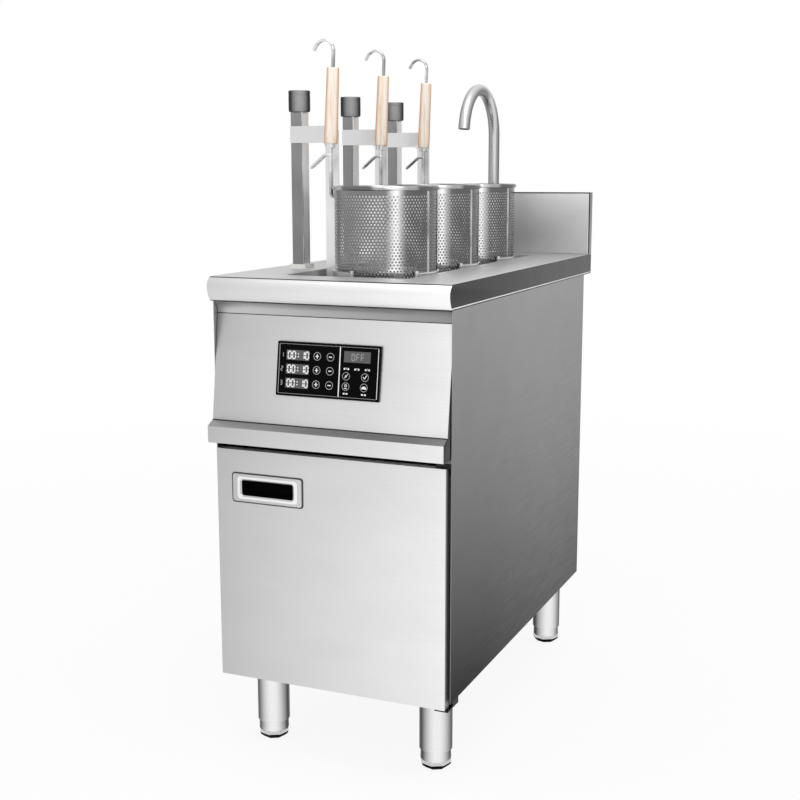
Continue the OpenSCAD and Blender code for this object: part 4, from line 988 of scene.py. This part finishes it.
# A cap's section, from its socket round the foot, past a fine groove and over the top
CAP_SOCKET = (10.9, CAP_FOOT + 22)
CAP_SIDE = (
    (11.0, 0.4), (CAP_R - 0.5, 0), (CAP_R, 4), (CAP_R, 26.4), (CAP_R - 0.5, 27), (CAP_R, 27.6),
    (CAP_R, CAP_H), (0, CAP_H),
)
for k in LIFTS:
    body = f"lift_{k}"
    soft_copy(f"lift_post_{k}", f"post_tube_{k}", body, "post_steel", 1.6,
              [POST_STEEL, FLAG_STEEL, WIRE_STEEL], post_face, segments=3)
    soft_copy(f"lift_flag_{k}", f"flag_plate_{k}", body, "flag_steel", 0.5, [FLAG_STEEL])
    soft_copy(f"cradle_{k}", f"cradle_ring_{k}", body, "flag_steel", 0.4, [CRADLE_STEEL])
    bm = bmesh.new()
    side = rounded([(radius, CAP_FOOT + z) for radius, z in CAP_SIDE], 1.6)
    lathe(bm, [CAP_SOCKET] + side, (POST_X, lift_y(k) + POST_Y), lit=CAP_LIT)
    finish(bm, f"rubber_cap_{k}", [CAP_RUBBER], body, "cap_rubber", f"post_cap_{k}")


# Perforated baskets: rolled wall, flat floor, foot ring, wired rim and welded seam
def basket_sheets(bm):
    """The perforated wall and floor, with their inner faces given the near-white inside, a painted
    light.
    """
    tile = hole_tile()
    bm.from_mesh(grow(wall_tree(), {
        **sheet_sizes(tile, HOLES_ROUND, HOLE_ROWS), "Radius": BASKET_R * MM,
        "Round": HOLES_ROUND * PITCH * MM, "Stations": 2 * HOLES_ROUND + 1,
        "Middle": (FIELD_Z + FIELD_H / 2) * MM,
        "Low Band": LOW_BAND * MM, "Low Middle": -(FIELD_H + LOW_BAND) / 2 * MM,
        "High Band": HIGH_BAND * MM, "High Middle": (FIELD_H + HIGH_BAND) / 2 * MM}, WALL))
    bm.from_mesh(grow(floor_tree(), {
        **sheet_sizes(tile, BASE_COLUMNS, BASE_ROWS), "Reach": BASE_REACH * MM,
        "Level": (BASKET_Z + 1.2) * MM}, WALL))
    bpy.data.objects.remove(tile)
    for face in bm.faces:
        middle = face.calc_center_median() / MM
        face.material_index = 1 if math.hypot(middle.x, middle.y) < BASKET_R - 0.6 else 0


def basket_rings(bm):
    """The foot ring, and the rim rolled over a wire."""
    # Each point of the foot is an inset from the wall and a height
    foot = (
        (0, 7), (0, 3), (1.4, 0.8), (3.6, 0), (13, 0), (13, 1.5), (4, 1.5), (2.1, 3.2), (1.6, 5),
        (1.6, 7),
    )
    ring = [(BASKET_R - inset, BASKET_Z + z) for inset, z in foot]
    lathe(bm, ring, segments=HOLES_ROUND, index=2, closed=True)
    turns = [math.pi * i / 6 for i in range(12)]
    rim = [(BASKET_R + RIM_R * math.cos(a), RIM_TOP - RIM_R + RIM_R * math.sin(a)) for a in turns]
    lathe(bm, rim, segments=120, index=2, closed=True)


def basket_bands(bm):
    """Painted reflections: four broad streaks of light round the basket, each with finer ones on it."""
    bands = band_layer(bm)
    for vert in bm.verts:
        bearing = math.atan2(vert.co.y, vert.co.x)
        vert[bands] = 0.78 * wave(bearing, BASKET_LIT, 4) + 0.22 * wave(bearing, BASKET_LIT, 16)


def basket_seam(bm):
    """The upright weld, a flat bead that stands 0.5 mm off the wall."""
    place = (
        Matrix.Rotation(WELD_TURN, 4, "Z") @ Matrix.Translation((BASKET_R - 0.4, 0, WELD_Z))
        @ Matrix.Rotation(math.radians(90), 4, "Y"))
    bead = round_rect(WELD_L, 5, 0.5)
    loft(bm, [(bead, 0, 3), (bead, 0.7, 3), (round_rect(WELD_L - 1, 4, 0.5), 0.9, 3)], place)


bm = bmesh.new()
basket_sheets(bm)
basket_rings(bm)
basket_bands(bm)
basket_seam(bm)
basket_mesh = to_mesh(bm, "basket", [BASKET_STEEL, INNER_STEEL, RIM_STEEL, WIRE_STEEL], 50)
for k in LIFTS:
    mesh = basket_mesh if k == LIFTS[-1] else basket_mesh.copy()
    mesh.transform(Matrix.Translation(mm(BASKET_X, lift_y(k), 0)))
    put(f"perforated_basket_{k}", mesh, f"pasta_basket_{k}", "basket_steel", f"basket_{k}")

# Handles: two upright wires, ferrule, rest loop and doubled hook, with a turned grip
OUTWARD = Vector((-math.cos(HANDLE_TURN), -math.sin(HANDLE_TURN), 0))
SIDEWAYS = Vector((math.sin(HANDLE_TURN), -math.cos(HANDLE_TURN), 0))
UP = Vector((0, 0, 1))
HOOK_WAY = Vector((-math.sin(math.radians(HOOK_END)), 0, math.cos(math.radians(HOOK_END))))


def handle_wires(bm, middle, lean):
    """Two wires, each up from the basket to the grip, and out of its top into the hook."""
    for way in (-1, 1):
        line = middle + SIDEWAYS * ARM_GAP * way
        bend = line + OUTWARD * (HANDLE_REACH - ELBOW_R) + UP * (ARM_Z + ELBOW_R)
        upright = [line + OUTWARD * HANDLE_REACH + UP * z for z in (GRIP_Z, 955, 930, 905)]
        elbow = arc(bend, OUTWARD, -UP, ELBOW_R, 0, 90, 8)
        arm = [line + OUTWARD * (BASKET_R + 0.6) + UP * ARM_Z]
        sweep(bm, upright + elbow + arm, ARM_WIRE_R, 14)
        apart = HOOK_WIRE_R * way
        bow_middle = (-HOOK_R, apart, GRIP_L + 25.5)
        bow = arc(bow_middle, (1, 0, 0), (0, 0, 1), HOOK_R, 0, HOOK_END, 20)
        rise = [Vector((0, apart, GRIP_L + z)) for z in (-4, 12, 24)]
        nose = [bow[-1] + HOOK_WAY * t - Vector((0, 0.08 * way * t, 0)) for t in (4, 8)]
        sweep(bm, [lean @ p for p in rise + bow + nose], HOOK_WIRE_R, 12)
    tip = Vector((bow[-1].x, 0, bow[-1].z))
    sweep(bm, [lean @ (tip + HOOK_WAY * t) for t in (5.5, 6.5, 8.5)], HOOK_TIP_R, 12)


def rest_loop(bm, middle):
    """A loop of wire that slopes down outwards, welded to both wires with a short cross bar."""
    root = middle + UP * LOOP_Z
    down = OUTWARD * math.cos(LOOP_DIP) - UP * math.sin(LOOP_DIP)
    near = OUTWARD * (HANDLE_REACH + 11) - UP * 1.2
    way_out = [
        OUTWARD * (HANDLE_REACH - 1), OUTWARD * (HANDLE_REACH + 7), near, near + down * LOOP_L]
    turn = arc((0, 0, 0), SIDEWAYS, down, LOOP_R, 15, 165, 10)
    loop = [p + SIDEWAYS * LOOP_R for p in way_out]
    loop += [near + down * LOOP_L + p for p in turn]
    loop += [p - SIDEWAYS * LOOP_R for p in reversed(way_out)]
    sweep(bm, [root + p for p in loop], LOOP_WIRE_R, 10)
    cross_bar = [root + OUTWARD * HANDLE_REACH + SIDEWAYS * s for s in (-8, -4, 0, 4, 8)]
    sweep(bm, cross_bar, LOOP_WIRE_R + 0.1, 10)


GRIP_SIDE = ((0, 0), (10.6, 0), (11.0, 14), (10.3, 58), (9.75, GRIP_L), (0, GRIP_L))
for k in LIFTS:
    body = f"pasta_basket_{k}"
    middle = Vector((BASKET_X, lift_y(k), 0))
    foot = middle + OUTWARD * HANDLE_REACH + UP * GRIP_Z
    tilt = Matrix.Rotation(GRIP_LEAN, 4, "Y")
    lean = Matrix.Translation(foot) @ tilt
    bm = bmesh.new()
    handle_wires(bm, middle, lean)
    rest_loop(bm, middle)
    sweep(bm, [lean @ Vector((0, 0, z)) for z in (-6.5, -5, -0.5, 0)], FERRULE_R, 24)
    finish(bm, f"wire_handle_{k}", [WIRE_STEEL], body, "wire_steel", f"basket_handle_{k}", angle=40)
    bm = bmesh.new()
    lathe(bm, rounded(GRIP_SIDE, 2.2, 4), segments=40, lit=TUBE_LIT)
    bmesh.ops.transform(bm, matrix=Matrix.Translation(foot * MM) @ tilt, verts=bm.verts)
    finish(bm, f"turned_grip_{k}", [GRIP_WOOD], body, "grip_wood", f"basket_grip_{k}")

# Faucet: fixed base and swivelling bent tube
faucet_x, faucet_y = FAUCET
bm = bmesh.new()
stem = [(faucet_x, faucet_y, SPOUT_FOOT + z) for z in (0.3, 4, 60, 120, 180, 204)]
bend = arc((faucet_x, faucet_y - BEND_R, BEND_Z), (0, 1, 0), (0, 0, 1), BEND_R, 0, 173, 120)
sweep(bm, stem + bend, SPOUT_R, 56, inner=SPOUT_BORE_R, lit=LIT_SIDE)
finish(bm, "spout_tube", [SPOUT_STEEL], "spout", "faucet_steel", "faucet_spout")
bm = bmesh.new()
flange = [
    (8, SKIRT_Z), (8, TOP_Z + 0.2), (17, TOP_Z + 0.2), (17, TOP_Z + 3), (15, TOP_Z + 5),
    (15, SPOUT_FOOT), (0, SPOUT_FOOT)]
lathe(bm, [(0, SKIRT_Z)] + rounded(flange, 1.0), FAUCET, lit=TUBE_LIT)
finish(bm, "spout_base", [SPOUT_STEEL], "cabinet", "faucet_steel", "faucet_base")

# Legs: tubes under a flange
LEG_SECTION = (
    (LEG_BORE_R, FOOT_H), (LEG_R - 0.4, FOOT_H), (LEG_R, FOOT_H + 0.5), (LEG_R, LEG_TOP - 3.2),
    (30, LEG_TOP - 3), (30, LEG_TOP), (LEG_BORE_R, LEG_TOP),
)
bm = bmesh.new()
for x, y in LEGS:
    lathe(bm, LEG_SECTION, (x, FRONT + y), 56, closed=True, lit=TUBE_LIT)
finish(bm, "leg_sleeves", [LEG_STEEL], "cabinet", "leg_steel", "leg_tubes")

# Levelling feet: a spindle with a round skirt, an octagonal collar and a rubber sole
SPINDLE = (
    (0, 90), (7.8, 90), (8, 89), (8, 33), (22, 32), (23.9, 31.4), (24.1, 30), (24.7, 15), (24, 14),
    (0, 14),
)
COLLAR = ((0, 14.6), (24.4, 14.6), (25.3, 13.6), (25.3, 8.2), (23.6, 6.2), (0, 6.2))
SOLE = ((0, 8.6), (25.35, 8.4), (24.6, 5.2), (19.5, 0.9), (18.5, 0), (0, 0))
for i, (x, y) in enumerate(LEGS, 1):
    centre = (x, FRONT + y)
    bm = bmesh.new()
    lathe(bm, SPINDLE, centre, index=2, lit=TUBE_LIT)
    lathe(bm, COLLAR, centre, 8, turn=FOOT_TURN)
    lathe(bm, SOLE, centre, 8, index=1, turn=FOOT_TURN)
    finish(bm, f"foot_collar_{i}", [FOOT_ZINC, SOLE_RUBBER, LEG_STEEL],
           f"foot_{i}", "foot_zinc", f"level_foot_{i}", angle=20)

# Pan-head screws down both rear flanges, each with a round recess
SCREW_HEAD = ((0, 0.9), (1.6, 0.9), (1.6, 2.1), (3.2, 1.7), (4, 0.8), (4, -0.6), (0, -0.6))
bm = bmesh.new()
lathe(bm, SCREW_HEAD, segments=12)
bmesh.ops.transform(bm, matrix=Matrix.Rotation(math.radians(-90), 4, "X"), verts=bm.verts)
screw = new_object("screw", to_mesh(bm, "screw", [ZINC]))
row = screw_tree()
for side, x in (("left", -SCREW_X), ("right", SCREW_X)):
    mesh = grow(row, {
        "Screw": screw, "Count": 5, "First": mm(x, BACK_Y, SCREW_FOOT), "Step": mm(0, 0, SCREW_STEP),
        "Zinc": ZINC})
    put(f"rear_screws_{side}", mesh, "cabinet", "frame_steel")
bpy.data.objects.remove(screw)

# The other CAD pieces keep their shape and get their finish
# The back panel takes the sides' steel, with its painted shade darker towards the bottom
FINISHES = {
    "back_panel": SIDE_STEEL, "bottom_panel": PIPE_STEEL, "base_frame": ZINC, "top_frame": ZINC,
    "touch_glass": GLASS_BLACK, "control_unit": BLACK_PLASTIC, "door_liner": PIPE_STEEL,
    "door_hinges": HINGE_STEEL, "door_magnet": BLACK_PLASTIC, "tank": TANK_STEEL,
    "tank_grid": TANK_STEEL, "heating_tubes": HEATER_STEEL, "overflow_pipe": PIPE_STEEL,
    "drain_pipe": PIPE_STEEL, "drain_valve": VALVE_BRASS, "drain_lever": DIPPED_RED,
    "thermostat_probe": PIPE_STEEL, "power_box": POWDER, "power_parts": GREY_PLASTIC,
    "cable_gland": BLACK_PLASTIC, "fill_valve": BLACK_PLASTIC, "guide_collars": NYLON,
    "lift_guide_rail": ZINC, "lift_actuators": DARK_POWDER,
}
for name, material in FINISHES.items():
    slots = nodes[name].data.materials
    if not slots:
        slots.append(material)
    for i in range(len(slots)):
        slots[i] = material


# Studio: floor, room, lamps and camera, in metres
FLOOR_REACH = 4.4


def seen_straight(tree, light):
    """Whether a ray comes straight from the eye, or through glass."""
    return add_node(tree, "ShaderNodeMath", {
        "operation": "MAXIMUM", 0: light["Is Camera Ray"], 1: light["Is Transmission Ray"]})


def floor_material():
    """Pale studio floor. Far off it nears the white backdrop; near the cooker it keeps the shadow."""
    material, tree, shader, place = new_material(
        "pale floor", "f0f0f0", 0.0, 0.9, {"Specular IOR Level": 0.1})
    light = add_node(tree, "ShaderNodeLightPath").outputs
    seen = add_node(tree, "ShaderNodeMath", {
        "operation": "MAXIMUM", 0: seen_straight(tree, light), 1: light["Is Glossy Ray"]})
    away = add_node(tree, "ShaderNodeVectorMath", {"operation": "LENGTH", 0: place})
    level = add_node(tree, "ShaderNodeMapRange", {
        "interpolation_type": "SMOOTHSTEP", "From Min": 0.7, "From Max": 3.4, "To Min": 0.9,
        "To Max": 1.0, "Value": away.outputs["Value"]})
    share = add_node(tree, "ShaderNodeMath", {"operation": "MULTIPLY", 0: seen, 1: level})
    glow = add_node(tree, "ShaderNodeEmission", {"Color": linear("ffffff"), "Strength": 1.0})
    mix = add_node(tree, "ShaderNodeMixShader", {0: share, 1: shader, 2: glow})
    tree.links.new(mix.outputs[0], tree.nodes["Material Output"].inputs["Surface"])
    return material


ground = bpy.data.meshes.new("floor")
outline = [(x, y, 0) for x, y in circle(FLOOR_REACH, sides=96)]
ground.from_pydata(outline, [], [tuple(range(len(outline)))])
ground.materials.append(floor_material())
new_object("floor", ground)

# Brightness of the studio walls by bearing in degrees: 0 is the front, 90 the right
WALLS = (
    (-180, 0.75), (-150, 0.42), (-112, 0.55), (-84, 1.0), (-62, 0.95), (-38, 0.92), (-8, 0.92),
    (10, 0.96), (20, 1.0), (48, 1.0), (60, 0.7), (92, 0.55), (128, 0.55), (160, 0.8), (180, 0.75),
)


def wall_brightness(tree, parts):
    """The walls' grey in the direction that a ray takes."""
    away = add_node(tree, "ShaderNodeMath", {"operation": "MULTIPLY", 1: -1.0, 0: parts["Y"]})
    turn = add_node(tree, "ShaderNodeMath", {"operation": "ARCTAN2", 0: parts["X"], 1: away})
    share = add_node(tree, "ShaderNodeMapRange", {
        "From Min": -math.pi, "From Max": math.pi, "Value": turn})
    walls = add_node(tree, "ShaderNodeValToRGB", {0: share})
    ramp = walls.color_ramp
    ramp.interpolation = "EASE"
    while len(ramp.elements) < len(WALLS):
        ramp.elements.new(0.5)
    for element, (angle, level) in zip(ramp.elements, WALLS):
        element.position = angle / 360 + 0.5
    for element, (angle, level) in zip(ramp.elements, WALLS):
        element.color = (level, level, level, 1)
    return walls.outputs[0]


def build_world():
    """The studio: white to the eye, and to polished steel white with soft grey walls at eye level."""
    world = bpy.data.worlds.new("studio")
    scene.world = world
    world.use_nodes = True
    tree = world.node_tree
    back = tree.nodes["Background"]
    place = add_node(tree, "ShaderNodeTexCoord").outputs["Generated"]
    parts = add_node(tree, "ShaderNodeSeparateXYZ", {0: place}).outputs
    height = add_node(tree, "ShaderNodeMath", {"operation": "ABSOLUTE", 0: parts["Z"]})
    room = drift(tree, height.outputs[0], (0.12, 0.35), wall_brightness(tree, parts), "f8f8f8")
    light = add_node(tree, "ShaderNodeLightPath").outputs
    ambient = drift(tree, light["Is Glossy Ray"], (0, 1), "e4e4e4", room)
    seen = seen_straight(tree, light).outputs[0]
    tree.links.new(drift(tree, seen, (0, 1), ambient, "ffffff"), back.inputs["Color"])
    back.inputs["Strength"].default_value = 1.0


def soft_lamp(name, place, aim, size, power):
    """A round lamp of a size in metres and a power in watts, turned to what it lights."""
    data = bpy.data.lights.new(name, "AREA")
    data.shape = "DISK"
    data.size = size
    data.energy = power
    made = new_object(name, data)
    made.location = place
    made.rotation_euler = (Vector(aim) - Vector(place)).to_track_quat("-Z", "Y").to_euler()


build_world()
soft_lamp("overhead", (0.4, -0.8, 3.4), (0, 0, 0.6), 2.2, 26)
soft_lamp("key", (1.6, -2.6, 2.2), (0, 0, 0.7), 1.2, 12)

# Camera, solved from the straight edges of the cabinet in the photograph
CAMERA_PLACE = (0.84118, -2.05504, 0.92892)
CAMERA_TURN = math.radians(23.198)
CAMERA_DIP = math.radians(10.098)
CAMERA_ROLL = math.radians(0.057)
camera_data = bpy.data.cameras.new("camera")
camera_data.sensor_width = 36
camera_data.lens = 57.23
camera_data.clip_start = 0.01
camera_data.clip_end = 200
camera = new_object("camera", camera_data)
scene.camera = camera
level = math.cos(CAMERA_DIP)
forward = Vector((
    -math.sin(CAMERA_TURN) * level, math.cos(CAMERA_TURN) * level, -math.sin(CAMERA_DIP)))
roll = Matrix.Rotation(-CAMERA_ROLL, 3, "Z").to_quaternion()
camera.rotation_mode = "QUATERNION"
camera.rotation_quaternion = forward.to_track_quat("-Z", "Y") @ roll
camera.location = CAMERA_PLACE

scene.view_settings.view_transform = "Standard"
